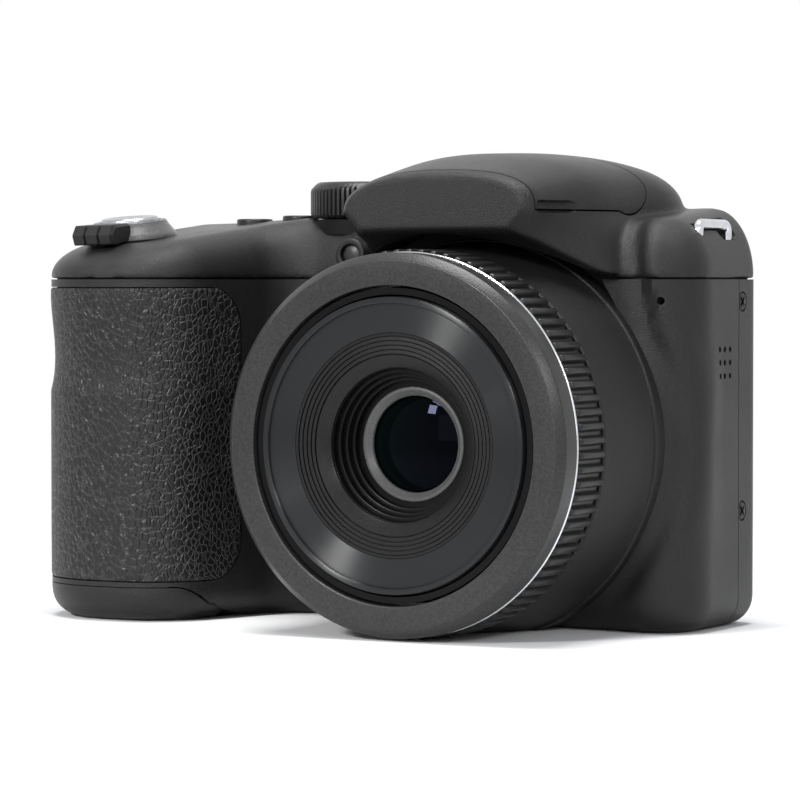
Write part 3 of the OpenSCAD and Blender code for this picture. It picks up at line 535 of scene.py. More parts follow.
def turned_gloss(name, tone, second):
    """Lacquered ring with a fine turned finish under the lacquer."""
    nodes = Nodes(name)
    dust = nodes.noise(900.0, 4.0)
    nodes.colour(dust, 0.3, 0.7, tone, second)
    nodes.rough(dust, 0.35, 0.75, 0.3, 0.34)
    turned = nodes.tree.nodes.new("ShaderNodeTangent")
    turned.direction_type = "RADIAL"
    turned.axis = "Y"
    nodes.link(turned.outputs["Tangent"], nodes.shader.inputs["Tangent"])
    nodes.set(Anisotropic=1.0, Anisotropic_Rotation=0.25)
    nodes.set(Specular_IOR_Level=0.42)
    return nodes.material


body_plastic = satin("satin_body", shade(15), shade(37), 0.37, 6500.0, 0.0001, 0.04, 0.24)
top_plastic = satin("satin_top", shade(15), shade(37), 0.34, 6500.0, 0.0001, 0.04, 0.26)
rubber = leather("leather_rubber", shade(11), shade(40))
ring_plastic = satin("ring_plastic", shade(22), shade(34), 0.36, 2600.0, 0.00002, 0.05, 0.3)
bezel_plastic = satin("bezel_plastic", shade(28), shade(46), 0.34, 3000.0, 0.00003, 0.05, 0.35)
turned_black = turned_gloss("turned_black", shade(6, 8, 11), shade(9, 11, 15))
rib_plastic = satin("rib_plastic", shade(12), shade(26), 0.34, 3000.0, 0.00002, 0.05, 0.22)
tunnel_black = satin("tunnel_black", shade(5), shade(11), 0.3, 2600.0, 0.00001, 0.05, 0.12)
retainer_grey = satin("retainer_grey", shade(70), shade(84), 0.4, 3000.0, 0.00001, 0.05, 0.4)
inner_black = satin("inner_black", shade(9), shade(16), 0.6, 2600.0, 0.00002, 0.05, 0.15)
dark_plastic = satin("dark_plastic", shade(18), shade(28), 0.42, 3000.0, 0.00002, 0.05, 0.3)
gear_plastic = satin("gear_plastic", shade(190, 186, 176), shade(214, 210, 200), 0.4)
board_green = satin("board_green", shade(18, 62, 40), shade(28, 84, 56), 0.4)
gloss_black = gloss("gloss_black", shade(12, 13, 18), 0.07, shade(18, 20, 27))
screen_black = gloss("screen_black", shade(10, 11, 13), 0.05)
chrome = metal("chrome", shade(214, 216, 220), 0.12)
satin_metal = metal("satin_metal", shade(120, 121, 124), 0.32, 900.0, (1, 1, 8), 0.00001)
silver = metal("silver", shade(176, 178, 182), 0.26)
steel = metal("steel", shade(168, 170, 174), 0.28)
alloy = metal("alloy", shade(150, 152, 156), 0.4, 700.0)
brass = metal("brass", shade(206, 168, 92), 0.3)
front_coating = coated_glass("coated_glass")
lens_glass = clear_glass("lens_glass", shade(225, 230, 240))
flash_lens = clear_glass("flash_lens", shade(236, 240, 244), 0.3)

collar_grey = satin("collar_grey", shade(72), shade(92), 0.3, 2600.0, 0.00002, 0.05, 0.4)
mark_white = satin("mark_white", shade(206), shade(222), 0.5)
dark_steel = metal("dark_steel", shade(46, 46, 48), 0.4)
lamp_glass = gloss("lamp_glass", shade(22, 20, 20), 0.32, shade(32, 29, 29))

SLOT_LOOK = {
    "body_plastic": body_plastic,
    "grip_skin": rubber,
    "ring_plastic": ring_plastic,
    "bright_trim": chrome,
    "lever_metal": satin_metal,
    "inner_black": inner_black,
    "gloss_black": gloss_black,
    "optical_glass": lens_glass,
    "gear_plastic": gear_plastic,
    "alloy": alloy,
    "steel": steel,
    "brass": brass,
    "board": board_green,
}


# Housing pieces

RIDGE_R = 38.7
ARCH_R = (36.0, 34.2)
RIDGE_TURN_Z = 50.0
RIDGE_LEAN = 4.0 / 18.0


def ridge_offset(x, y, z):
    """How far the front face stands out round the skirt: a valley beside it and a soft ridge outside that."""
    r = np.hypot(x, z - LENS_Z)
    straight = x - (math.sqrt(RIDGE_R ** 2 - (RIDGE_TURN_Z - LENS_Z) ** 2) - (z - RIDGE_TURN_Z) * RIDGE_LEAN)
    e = np.where(z < RIDGE_TURN_Z, r - RIDGE_R, straight)
    high = smooth_step(24.0, 48.0, z)
    ridge = (0.3 + 0.45 * high) * np.exp(-(e / 1.9) ** 2)
    valley = -(0.6 + 0.15 * high) * np.exp(-((e + 3.2) / 1.5) ** 2)
    weight = smooth_step(10, 18, x) * smooth_step(1.0, -5.0, y) * smooth_step(2.0, 9.0, z)
    return (ridge + valley) * weight


def ring_normals(points):
    ahead = np.roll(points, -1, axis=0)
    behind = np.roll(points, 1, axis=0)
    along = ahead - behind
    normal = np.stack((along[:, 1], -along[:, 0]), axis=1)
    size = np.linalg.norm(normal, axis=1, keepdims=True)
    return normal / np.maximum(size, 1e-9)


def shaped_ring(z, inset=0.0, share=EVEN_SHARE, shaped=True):
    """One ring of the housing at a height (a number, or one for each point)."""
    flat = rounded_outline(OUTLINE, inset, share)
    heights = np.full(len(flat), z, dtype=float) if np.isscalar(z) else z
    if shaped:
        offset = ridge_offset(flat[:, 0], flat[:, 1], heights)
        flat = flat + ring_normals(flat) * offset[:, None]
    return np.column_stack((flat, heights))


def lower_rings(inset, top, shaped):
    rings = []
    for a in np.linspace(0, math.pi / 2, 9):
        z = BASE_R * (1 - math.cos(a)) + inset
        rings.append(shaped_ring(z, inset + BASE_R * (1 - math.sin(a)), EVEN_SHARE, shaped))
    for z in np.linspace(BASE_R + inset, top, 46)[1:]:
        rings.append(shaped_ring(z, inset, EVEN_SHARE, shaped))
    return rings


def lower_shell():
    """The whole lower housing as a thin shell, open at its top."""
    outer = lower_rings(0.0, SEAM_Z, True)
    inner = lower_rings(1.7, SEAM_Z, False)
    return tube(outer + inner[::-1], "lower_shell")


def upper_rings(inset, low, drop, shaped):
    flat = rounded_outline(OUTLINE, inset)
    rings = [shaped_ring(low, inset, EVEN_SHARE, shaped)]
    for a in np.linspace(0, math.pi / 2, 13):
        draw = inset + SHOULDER_R * (1 - math.cos(a))
        flat = rounded_outline(OUTLINE, draw, SHOULDER_SHARE)
        start = SEAM_Z + 0.6
        z = start + (top_at(flat[:, 0], flat[:, 1]) - drop - start) * math.sin(a)
        rings.append(shaped_ring(z, draw, SHOULDER_SHARE, shaped))
    return rings


# Hump sections: y, half width and height of the foot, then of the waist, height of the crown,
# and how much wider the foot and the waist are on the speaker's side
HUMP = (
    (-30.6, 13.6, 66.4, 16.4, 69.4, 75.0, 0.0, 0.0),
    (-29.3, 14.8, 65.5, 17.6, 69.3, 75.9, 0.2, 0.2),
    (-25.0, 15.6, 64.0, 18.4, 69.2, 77.0, 1.8, 0.6),
    (-20.0, 17.2, 61.2, 19.2, 69.0, 78.1, 4.4, 1.4),
    (-16.0, 18.8, 59.2, 20.0, 69.0, 78.8, 6.2, 2.2),
    (-12.0, 19.8, 59.2, 20.4, 69.0, 79.2, 7.0, 2.8),
    (-4.0, 20.6, 62.0, 20.4, 69.0, 79.4, 7.4, 4.2),
    (4.0, 20.8, 65.0, 20.4, 69.0, 78.9, 8.2, 6.0),
    (10.0, 20.4, 65.6, 20.0, 69.0, 77.4, 8.4, 6.0),
    (15.4, 19.0, 65.6, 18.5, 68.4, 72.4, 8.0, 5.0),
)
CROWN_POWER = (2.8, 2.2)


def spline(rows, t):
    """Smooth values between rows whose first column is the place."""
    rows = np.array(rows)
    places = rows[:, 0]
    k = int(np.clip(np.searchsorted(places, t) - 1, 0, len(rows) - 2))
    h = places[k + 1] - places[k]
    s = (t - places[k]) / h

    def slope(i):
        if i == 0 or i == len(rows) - 1:
            j = 0 if i == 0 else i - 1
            return (rows[j + 1] - rows[j]) / (places[j + 1] - places[j])
        return (rows[i + 1] - rows[i - 1]) / (places[i + 1] - places[i - 1])

    a, b = rows[k], rows[k + 1]
    m0, m1 = slope(k) * h, slope(k + 1) * h
    return ((2 * s ** 3 - 3 * s ** 2 + 1) * a + (s ** 3 - 2 * s ** 2 + s) * m0
            + (-2 * s ** 3 + 3 * s ** 2) * b + (s ** 3 - s ** 2) * m1)


def rounded_polygon(corners, arc=8):
    """Points of a polygon given as (x, z, radius), anticlockwise, with its corners rounded."""
    points = []
    count = len(corners)
    for i in range(count):
        before, here, after = (np.array(corners[j % count][:2]) for j in (i - 1, i, i + 1))
        a = (before - here) / np.linalg.norm(before - here)
        b = (after - here) / np.linalg.norm(after - here)
        half = math.acos(float(np.clip(a @ b, -1, 1))) / 2
        r = corners[i][2]
        longest = 0.48 * min(np.linalg.norm(before - here), np.linalg.norm(after - here))
        reach = min(r / math.tan(half), longest)
        r = reach * math.tan(half)
        middle = (a + b) / np.linalg.norm(a + b)
        centre = here + middle * (r / math.sin(half))
        first, last = here + a * reach - centre, here + b * reach - centre
        start = math.atan2(first[1], first[0])
        sweep = (math.atan2(last[1], last[0]) - start + math.pi) % (2 * math.pi) - math.pi
        turns = [start + sweep * j / arc for j in range(arc + 1)]
        points += [centre + r * np.array((math.cos(t), math.sin(t))) for t in turns]
    return points


def hump_ring(y, grow=0.0, foot=None):
    """One section of the hump: flat foot, leaning sides and an arched crown."""
    _, w0, z0, w1, z1, z2, e0, e1 = spline(HUMP, y)
    low = z0 if foot is None else foot
    rise = z2 + grow - z1
    points = [(x, low) for x in np.linspace(-w0 - grow, w0 + e0 + grow, 30)]
    right = (w0 + e0 + grow, w1 + e1 + grow)
    left = (-w0 - grow, -w1 - grow)
    points += [(right[0] + (right[1] - right[0]) * t, low + (z1 - low) * t)
               for t in np.linspace(0.08, 0.92, 9)]
    for a in np.linspace(0, math.pi, 61):
        side, power = (right[1], CROWN_POWER[0]) if a < math.pi / 2 else (left[1], CROWN_POWER[1])
        points.append((side * abs(math.cos(a)) ** (2 / power), z1 + rise * math.sin(a) ** (2 / power)))
    points += [(left[1] + (left[0] - left[1]) * t, z1 + (low - z1) * t) for t in np.linspace(0.08, 0.92, 9)]
    return [(x, y, z) for x, z in points]


def hump_solid(grow=0.0, start=-30.6, end=15.4, foot=None, name="hump"):
    rings = [hump_ring(y, grow, foot) for y in np.linspace(start, end, 60)]
    return face_outward(tube(rings, name))


LID_AXIS = (-7.0, 74.6)
LID_FRONT = 28.6
LID_Z = 69.6
LID_ROUND_R = 5.6
LID_GAP = 0.28


def lid_bar(gap):
    """Space of the flash lid: a slab behind the nameplate, rounded about the hinge at its rear."""
    y0, z0 = LID_AXIS
    rear = rod((0, y0, z0), (1, 0, 0), LID_ROUND_R + gap, -60, 60, "lid_rear", 96)
    slab = block((-60, -LID_FRONT - gap, LID_Z - gap), (60, y0, 100), "lid_slab")
    return combine(slab, rear, "UNION")


def front_skirt():
    """Fixed lens skirt: a cone behind the knurled ring, with a crisp rim where it meets the body."""
    profile = [(HOUSING_R + 0.1, 8.0), (SKIRT_R - 0.1, 8.0), (SKIRT_R, 14.6)]
    for a in np.linspace(0, math.pi / 2, 6):
        profile.append((SKIRT_R - 0.35 + 0.35 * math.cos(a), SKIRT_RIM - 0.35 + 0.35 * math.sin(a)))
    foot_r = SKIRT_R - 0.45
    for t in np.linspace(0.04, 1.0, 10):
        profile.append((foot_r - (foot_r - 31.0) * t, SKIRT_RIM + (SKIRT_END - 0.3 - SKIRT_RIM) * t))
    profile += [(30.7, SKIRT_END), (HOUSING_R + 0.1, SKIRT_END)]
    return revolve(profile, "lens_skirt", 256)


# Grip skin

RUBBER_CORNER = 7.0


def skin_path():
    """Line of the skin's outer face in plan, from the grip's side round its front to the finger hollow."""
    dense = rounded_outline(OUTLINE)
    inside = np.array([p for p in dense if p[1] < RUBBER_SIDE_Y and p[0] < RUBBER_EDGE_X])
    n = edge_normal(OUTLINE, 3)
    corner = np.array(OUTLINE[3][:2])
    along = np.array((-n[1], n[0]))
    last = corner + along * ((RUBBER_EDGE_X - corner[0]) / along[0])
    return np.vstack(((-GRIP_X, RUBBER_SIDE_Y), inside, last))


def finger_dent(z, share):
    """Depth of the shallow hollow for the fingers across the upper half of the grip."""
    t = (z - FINGER_Z[0]) / (FINGER_Z[1] - FINGER_Z[0])
    if t <= 0 or t >= 1:
        return 0.0
    return FINGER_DEPTH * math.sin(math.pi * t ** 0.7) ** 1.3 * (1 - smooth_step(0.55, 0.85, share))


def skin_solid(grow, top, bottom, name, columns=150, rows=90):
    """Patch of the skin between two heights above the housing's face, with rounded corners and edges."""
    path = skin_path()
    steps = np.linalg.norm(np.diff(path, axis=0), axis=1)
    place = np.concatenate(((0,), np.cumsum(steps)))
    total = place[-1]
    low, high = RUBBER_Z[0] - grow, RUBBER_Z[1] + grow
    r = RUBBER_CORNER + grow

    def spread(count, start, end, tight=0.5):
        rim = np.array((0, 0.12, 0.3, 0.6))
        middle = np.linspace(start + 1.0, end - 1.0, count)
        return np.concatenate((start + rim * tight * 2, middle, (end - rim * tight * 2)[::-1]))

    def spot(s):
        """Point of the path at a distance along it."""
        return np.array((np.interp(s, place, path[:, 0]), np.interp(s, place, path[:, 1])))

    def layer(height, roll):
        points = []
        for z in spread(rows, low, high):
            edge = min(z - low, high - z)
            cut_in = r - math.sqrt(max(r * r - max(r - edge, 0) ** 2, 0))
            for s in spread(columns, -grow + cut_in, total + grow - cut_in):
                x, y = spot(s)
                if s < 0:
                    y += -s
                if s > total:
                    over = path[-1] + (path[-1] - path[-2]) / steps[-1] * (s - total)
                    x, y = over
                along = spot(s + 0.4) - spot(s - 0.4)
                t = along / np.linalg.norm(along)
                rim = min(edge, s + grow - cut_in, total + grow - cut_in - s)
                sink = roll * (1 - math.sqrt(max(1 - max(1 - rim / 0.6, 0) ** 2, 0))) if roll else 0
                out = height - sink - (finger_dent(z, s / total) if roll else 0)
                points.append((x + t[1] * out, y - t[0] * out, z))
        return points

    wide = columns + 8
    tall = rows + 8
    outer = layer(top, 0.35 if grow == 0 else 0)
    inner = layer(bottom, 0)
    base = len(outer)
    faces = []
    for k in range(tall - 1):
        for i in range(wide - 1):
            a, b, c, d = k * wide + i, k * wide + i + 1, (k + 1) * wide + i + 1, (k + 1) * wide + i
            faces.append((a, b, c, d))
            faces.append((base + d, base + c, base + b, base + a))
    border = [i for i in range(wide)]
    border += [k * wide + wide - 1 for k in range(1, tall)]
    border += [(tall - 1) * wide + i for i in range(wide - 2, -1, -1)]
    border += [k * wide for k in range(tall - 2, 0, -1)]
    for a, b in zip(border, border[1:] + border[:1]):
        faces.append((b, a, base + a, base + b))
    return face_outward(new_object(name, outer + inner, faces))


# Lens pieces

def arc_points(centre, radius, start, end, count):
    """Points (radius, distance) of an arc in a turned profile, angles in degrees."""
    return [(centre[0] + radius * math.cos(math.radians(a)), centre[1] + radius * math.sin(math.radians(a)))
            for a in np.linspace(start, end, count)]


def front_bezel():
    outer = RING_R - 0.15
    hole = 25.75
    front = LENS_FRONT
    profile = [(HOUSING_R + 0.1, BEZEL_START), (outer - 0.15, BEZEL_START), (outer, BEZEL_START + 0.15)]
    profile += arc_points((outer - 0.4, front - 1.45), 0.4, 0, 45, 4)
    profile += arc_points((outer - 1.45, front - 0.4), 0.4, 45, 90, 4)
    profile += arc_points((hole + 0.3, front - 0.3), 0.3, 90, 180, 5)
    profile += [(hole, front - 2.4), (HOUSING_R + 0.1, front - 2.4)]
    return revolve(profile, "bezel", 256)


def chrome_line():
    start, end, outer = CHROME_START + 0.3, BEZEL_START, RING_R
    profile = [(HOUSING_R + 0.1, start), (outer - 0.2, start)]
    profile += arc_points((outer - 0.22, start + 0.22), 0.22, -90, 0, 4)
    profile += arc_points((outer - 0.22, end - 0.22), 0.22, 0, 90, 4)
    profile += [(HOUSING_R + 0.1, end)]
    return revolve(profile, "chrome_line", 256)


def knurled_ring():
    """Ring with rounded ridges that run along the lens, worked out from the angle."""
    per_ridge = 14
    count = RIDGES * per_ridge
    low, high = RING_R - 0.75, RING_R + 0.4
    start, end = KNURL_START, CHROME_START
    phase = np.arange(per_ridge) / per_ridge
    side = np.abs(phase - 0.5) * 2
    crest = 1 - smooth_step(0.3, 0.78, side)
    crest = np.tile(crest, RIDGES)
    angles = np.arange(count) * 2 * math.pi / count
    rows = []
    for d, share in ((start, 0.0), (start + 0.15, 0.55), (start + 0.45, 0.9), (start + 0.9, 1.0),
                     (end - 0.7, 1.0), (end - 0.3, 0.9), (end - 0.1, 0.6), (end, 0.1)):
        r = low + (high - low) * crest * share
        rows.append(np.column_stack((r * np.cos(angles), np.full(count, -d), LENS_Z + r * np.sin(angles))))
    for d in (end, start):
        r = HOUSING_R + 0.1
        rows.append(np.column_stack((r * np.cos(angles), np.full(count, -d), LENS_Z + r * np.sin(angles))))
    return face_outward(grid_torus([list(map(tuple, row)) for row in rows], "knurled_grip"))


FRONT_BARREL_R = 24.0
RIB_R = 18.2
RIB_PITCH = 0.72
RIB_STEPS = 5
GLASS_R = 9.4
RETAINER_END = 37.0


def trim_ring():
    """Gloss annulus in front of the ribs, slightly dished, with a thin raised rim."""
    front = LENS_FRONT
    outer = FRONT_BARREL_R - 0.05
    profile = [(outer, front - 1.5), (outer, front - 0.3)]
    profile += arc_points((outer - 0.3, front - 0.3), 0.3, 0, 90, 5)
    profile += arc_points((outer - 0.75, front - 0.3), 0.3, 90, 180, 5)
    profile.append((outer - 1.1, front - 0.55))
    for t in np.linspace(0, 1, 12):
        profile.append((outer - 1.2 - (outer - 1.2 - RIB_R) * t, front - 0.55 - 0.35 * t))
    profile += [(RIB_R, front - 1.6), (outer - 1.0, front - 1.6)]
    return revolve(profile, "trim_ring", 256)


def rib_ring():
    """Stepped light-trap ribs and the cone behind them."""
    front = LENS_FRONT - 0.9
    profile = [(RIB_R + 0.4, front - 0.75), (RIB_R - 0.02, front - 0.75), (RIB_R - 0.02, front - 0.1),
               (RIB_R - 0.1, front)]
    for i in range(RIB_STEPS):
        r = RIB_R - i * RIB_PITCH
        d = front - 0.1 * i
        profile += [(r - 0.42, d), (r - 0.5, d - 0.06), (r - 0.52, d - 0.42), (r - 0.64, d - 0.42),
                    (r - 0.68, d - 0.16)]
    inner = RIB_R - RIB_STEPS * RIB_PITCH
    d = front - 0.1 * RIB_STEPS
    profile += [(inner - 0.05, d), (inner - 1.9, d - 1.2), (inner - 2.05, d - 1.35), (inner - 2.1, d - 1.7)]
    profile += [(inner - 1.5, d - 2.4), (inner + 0.4, d - 1.8)]
    return revolve(profile, "rib_ring", 256)


def lens_tunnel():
    """Dark stepped tunnel between the ribs and the front glass."""
    top = LENS_FRONT - 3.1
    profile = [(13.0, top), (12.45, top)]
    steps = 4
    for i in range(steps):
        r = 12.45 - (12.45 - GLASS_R - 0.35) * i / steps
        nxt = 12.45 - (12.45 - GLASS_R - 0.35) * (i + 1) / steps
        d = top - (top - RETAINER_END + 0.4) * i / steps
        deep = top - (top - RETAINER_END + 0.4) * (i + 1) / steps
        profile += [(r - 0.05, d - 0.05), (r - 0.1, deep + 0.12), (r - 0.18, deep), (nxt + 0.08, deep)]
    profile += [(GLASS_R + 0.1, RETAINER_END - 0.5), (GLASS_R + 0.1, RETAINER_END - 0.9),
                (13.0, RETAINER_END - 0.9)]
    return revolve(profile, "lens_tunnel", 192)


def retainer():
    """Grey ring that holds the front glass."""
    end = RETAINER_END
    profile = [(GLASS_R - 0.02, end - 1.1), (GLASS_R - 0.02, end - 0.25)]
    profile += arc_points((GLASS_R - 0.3, end - 0.28), 0.28, 0, 90, 4)
    profile += [(GLASS_R - 0.6, end), (GLASS_R - 1.45, end - 0.75), (GLASS_R - 1.55, end - 1.1)]
    return revolve(profile, "glass_retainer", 160)


def front_glass():
    rise = 1.5
    rim = GLASS_R - 1.6
    ball = (rim * rim + rise * rise) / (2 * rise)
    seat = RETAINER_END - 1.6
    profile = [(0.01, 31.5), (GLASS_R - 0.05, 31.5), (GLASS_R - 0.05, seat - 0.05), (rim, seat)]
    for t in np.linspace(1.0, 0.002, 26)[1:]:
        r = rim * t
        profile.append((r, seat + rise - ball + math.sqrt(ball * ball - r * r)))
    return lathe((0, 0, LENS_Z), (0, -1, 0), profile, "front_glass", 128)


# Controls on the top

SHUTTER_R = 5.0
LEVER_R = 8.0
DIAL_R = 9.6
DIAL_LIFT = 0.8
BUTTON_R = 3.2


def on_top(spot):
    """Place on the sloping top at a spot, and the way square to the slope there."""
    place = Vector((spot[0], spot[1], top_at(*spot)))
    return place, Vector((-TOP_SLOPE[0], -TOP_SLOPE[1], 1)).normalized()


def rounded_cap(radius, low, high, round_r, dish=0.0, steps=6):
    """Turned profile of a button: straight side, rounded edge and a flat or dished top."""
    profile = [(0.01, low), (radius - 0.02, low), (radius, low + 0.05)]
    profile += arc_points((radius - round_r, high - round_r), round_r, 0, 90, steps)
    inner = radius - round_r
    for t in np.linspace(0.9, 0.0, 10):
        r = max(inner * t, 0.01)
        profile.append((r, high - dish * (1 - t * t)))
    return profile


def shutter_button():
    place, up = on_top(SHUTTER)
    return lathe(place, up, rounded_cap(SHUTTER_R, 1.5, 3.9, 0.6, 0.35), "shutter_cap")


def lever_collar():
    """Low cone round the shutter button."""
    place, up = on_top(SHUTTER)
    inner = SHUTTER_R + 0.3
    rings = [(inner, 0.3), (LEVER_R - 0.1, 0.2), (LEVER_R, 0.35), (LEVER_R - 0.05, 0.7)]
    rings += [(LEVER_R - 0.1 - 1.5 * t / 6, 0.9 + 2.0 * t / 6) for t in range(0, 6)]
    rings += arc_points((LEVER_R - 2.0, 2.85), 0.45, 20, 90, 6)
    rings += arc_points((inner + 0.25, 3.05), 0.25, 90, 180, 5)
    side = up.orthogonal().normalized()
    other = up.cross(side)
    rows = []
    for r, t in rings:
        row = []
        for i in range(128):
            a = 2 * math.pi * i / 128
            row.append(tuple(place + up * t + (side * math.cos(a) + other * math.sin(a)) * r))
        rows.append(row)
    return face_outward(grid_torus(rows, "lever_collar"))


def lever_tab():
    """Finger tab in front of the collar: a chamfered block with three upright ridges on its face."""
    place, up = on_top(SHUTTER)
    right = Vector((1, 0, 0))
    right = (right - up * right.dot(up)).normalized()
    ahead = up.cross(right) * -1
    rings = []
    for t in np.linspace(-1, 1, 61):
        x = 4.1 * t
        near = abs(math.sin(1.5 * math.pi * (t + 1)))
        groove = 0.45 * (1 - smooth_step(0.0, 0.34, near)) if abs(t) < 0.95 else 0.3
        end = 0.35 * max(abs(t) - 0.9, 0) / 0.1
        corners = (
            (6.2, 0.5, 0.2), (12.0 - groove - end, 0.1, 0.4), (12.5 - groove - end, 1.9, 0.5),
            (11.3 - groove - end, 3.5 - 0.7 * groove - end, 0.5), (6.2, 3.3 - end, 0.2),
        )
        rings.append([place + right * x + up * z + ahead * d for d, z in rounded_polygon(corners, 5)])
    return face_outward(tube(rings, "lever_tab"))


def dial():
    """Mode dial with fine flutes round its side and a shallow dished top."""
    base = Vector((DIAL[0], DIAL[1], top_plane(*DIAL) + DIAL_LIFT))
    flutes, per = 66, 8
    count = flutes * per
    phase = np.tile(np.arange(per) / per, flutes)
    crest = 1 - smooth_step(0.5, 0.95, np.abs(phase - 0.5) * 2)
    angles = np.arange(count) * 2 * math.pi / count
    root = DIAL_R - 0.5
    rows = [(0.01, 0.0, 0), (DIAL_R - 1.0, 0.0, 0), (root, 0.15, 0.2), (root, 0.5, 0.9),
            (root, 1.0, 1), (root, 4.6, 1), (root, 5.1, 0.8), (DIAL_R - 0.55, 5.45, 0.2),
            (DIAL_R - 0.75, 5.75, 0), (DIAL_R - 1.1, 6.1, 0), (DIAL_R - 1.6, 6.3, 0), (DIAL_R - 2.2, 6.33, 0),
            (DIAL_R - 2.5, 6.25, 0), (DIAL_R - 5, 6.18, 0), (0.01, 6.15, 0)]
    rings = []
    for r, t, share in rows:
        radius = r + 0.5 * crest * share
        rings.append([tuple(base + Vector((out * math.cos(a), out * math.sin(a), t)))
                      for out, a in zip(np.broadcast_to(radius, count), angles)])
    return face_outward(tube(rings, "dial_cap"))


def dial_seat():
    """Round seat on the cover that the dial turns above, near black: painted shade under the dial's rim."""
    profile = [(0.01, -2.0), (DIAL_R - 0.9, -2.0), (DIAL_R - 0.9, 0.5), (DIAL_R - 1.05, 0.65), (0.01, 0.65)]
    return lathe((DIAL[0], DIAL[1], top_plane(*DIAL)), (0, 0, 1), profile, "dial_seat", 96)


def dial_marks():
    """Raised position marks on the dial."""
    base = Vector((DIAL[0], DIAL[1], top_plane(*DIAL) + DIAL_LIFT))
    points, faces = [], []
    for i in range(10):
        a = 2 * math.pi * i / 10 + 0.2
        out = Vector((math.cos(a), math.sin(a), 0))
        side = Vector((-math.sin(a), math.cos(a), 0))
        first = len(points)
        long = 1.9 if i % 5 else 2.8
        for r in (DIAL_R - 2.9 - long, DIAL_R - 2.9):
            for w in (-0.22, 0.22):
                for t in (6.1, 6.3):
                    points.append(base + out * r + side * w + Vector((0, 0, t)))
        for quad in ((0, 1, 3, 2), (4, 6, 7, 5), (0, 4, 5, 1), (2, 3, 7, 6), (0, 2, 6, 4), (1, 5, 7, 3)):
            faces.append(tuple(first + k for k in quad))
    return face_outward(new_object("dial_marks", points, faces))


def top_button(spot, name, lift):
    place, _ = on_top(spot)
    return lathe(place, (0, 0, 1), rounded_cap(BUTTON_R, -3.6, 0.75 + lift, 0.35, 0.12), name, 64)


def wire(path, radius, name, segments=20):
    """Round wire along a line of points, with flat ends."""
    path = [Vector(p) for p in path]
    rings = []
    side = None
    for k, p in enumerate(path):
        t = (path[min(k + 1, len(path) - 1)] - path[max(k - 1, 0)]).normalized()
        side = t.orthogonal().normalized() if side is None else (side - t * side.dot(t)).normalized()
        rings.append(circle(p, side, t.cross(side), radius, segments))
    return face_outward(tube(rings, name))


LUG_Y = 2.2
LUG_R = 0.9
FLANK_LUG = (FLANK_X - 3.3, 5.6, SEAM_Z + 9.1)
GRIP_LUG = (-GRIP_X + 3.8, 4.5, SEAM_Z + 9.6)
LUG_POCKET = ((FLANK_X - 4.9, LUG_Y + 0.6, SEAM_Z + 6.6), (FLANK_X + 5, LUG_Y + 7, SEAM_Z + 15))


def strap_lug(x, half, crown, name):
    """Bent bar with a post at each end."""
    bend = 1.2
    y0, y1 = LUG_Y - half, LUG_Y + half
    path = [(x, y0, SEAM_Z + 4), (x, y0, SEAM_Z + 6)]
    path += [(x, y0 + bend - bend * math.cos(a), crown - bend + bend * math.sin(a))
             for a in np.linspace(0, math.pi / 2, 8)]
    path += [(x, y1 - bend + bend * math.sin(a), crown - bend + bend * math.cos(a))
             for a in np.linspace(0, math.pi / 2, 8)]
    path += [(x, y1, SEAM_Z + 6), (x, y1, SEAM_Z + 4)]
    return wire(path, LUG_R, name)


SCREW_HEAD_R = 1.6
SCREWS = (
    ((FLANK_X - 0.55, 8.4, 54.5), (1, 0, 0)),
    ((FLANK_X - 0.55, 8.4, 19.5), (1, 0, 0)),
    ((-32.0, 10.4, 0.55), (0, 0, -1)),
    ((30.0, 10.4, 0.55), (0, 0, -1)),
)


def screw(place, axis, name):
    """Countersunk screw with a cross recess."""
    profile = [(0.01, -4.5), (0.8, -4.5), (0.8, -1.3), (SCREW_HEAD_R - 0.1, -0.9), (SCREW_HEAD_R, -0.7)]
    profile += arc_points((SCREW_HEAD_R - 0.3, -0.35), 0.3, 0, 90, 4)
    profile += [(0.01, 0.05)]
    head = lathe(place, axis, profile, name, 48)
    axis = Vector(axis)
    side = axis.orthogonal().normalized()
    other = axis.cross(side)
    for along, across in ((side, other), (other, -side)):
        corners = [Vector(place) + along * a + across * b + axis * c
                   for c in (-0.7, 1.0) for b in (-0.22, 0.22) for a in (-1.0, 1.0)]
        cut(head, face_outward(new_object("slot", corners, BOX_FACES)))
    return head


def lamp_boss():
    """Short dark tube round the focus lamp."""
    profile = [(1.75, 6.0), (2.9, 6.0), (2.85, 12.0)]
    profile += arc_points((2.55, 12.1), 0.3, 0, 90, 4)
    profile += arc_points((2.05, 12.1), 0.3, 90, 180, 4)
    profile += [(1.75, 11.6)]
    rows = []
    for r, d in profile:
        rows.append([(LAMP[0] + r * math.cos(a), -d, LAMP[1] + r * math.sin(a))
                     for a in np.linspace(0, 2 * math.pi, 72, endpoint=False)])
    return face_outward(grid_torus(rows, "lamp_boss"))


def lamp_lens():
    profile = [(0.01, 6.0), (1.7, 6.0), (1.7, 11.7)]
    for t in np.linspace(0.95, 0.0, 8):
        profile.append((max(1.68 * t, 0.01), 11.75 + 0.3 * (1 - t * t)))
    return lathe((LAMP[0], 0, LAMP[1]), (0, -1, 0), profile, "lamp_lens", 64)


# Screen and controls on the rear

PAD_R = 10.0
OK_R = 4.3
KEYS = (
    ("menu_button", (-42.5, 42.7)),
    ("play_button", (-65.5, 42.7)),
    ("delete_button", (-42.5, 9.3)),
    ("video_button", (-65.5, 9.3)),
)


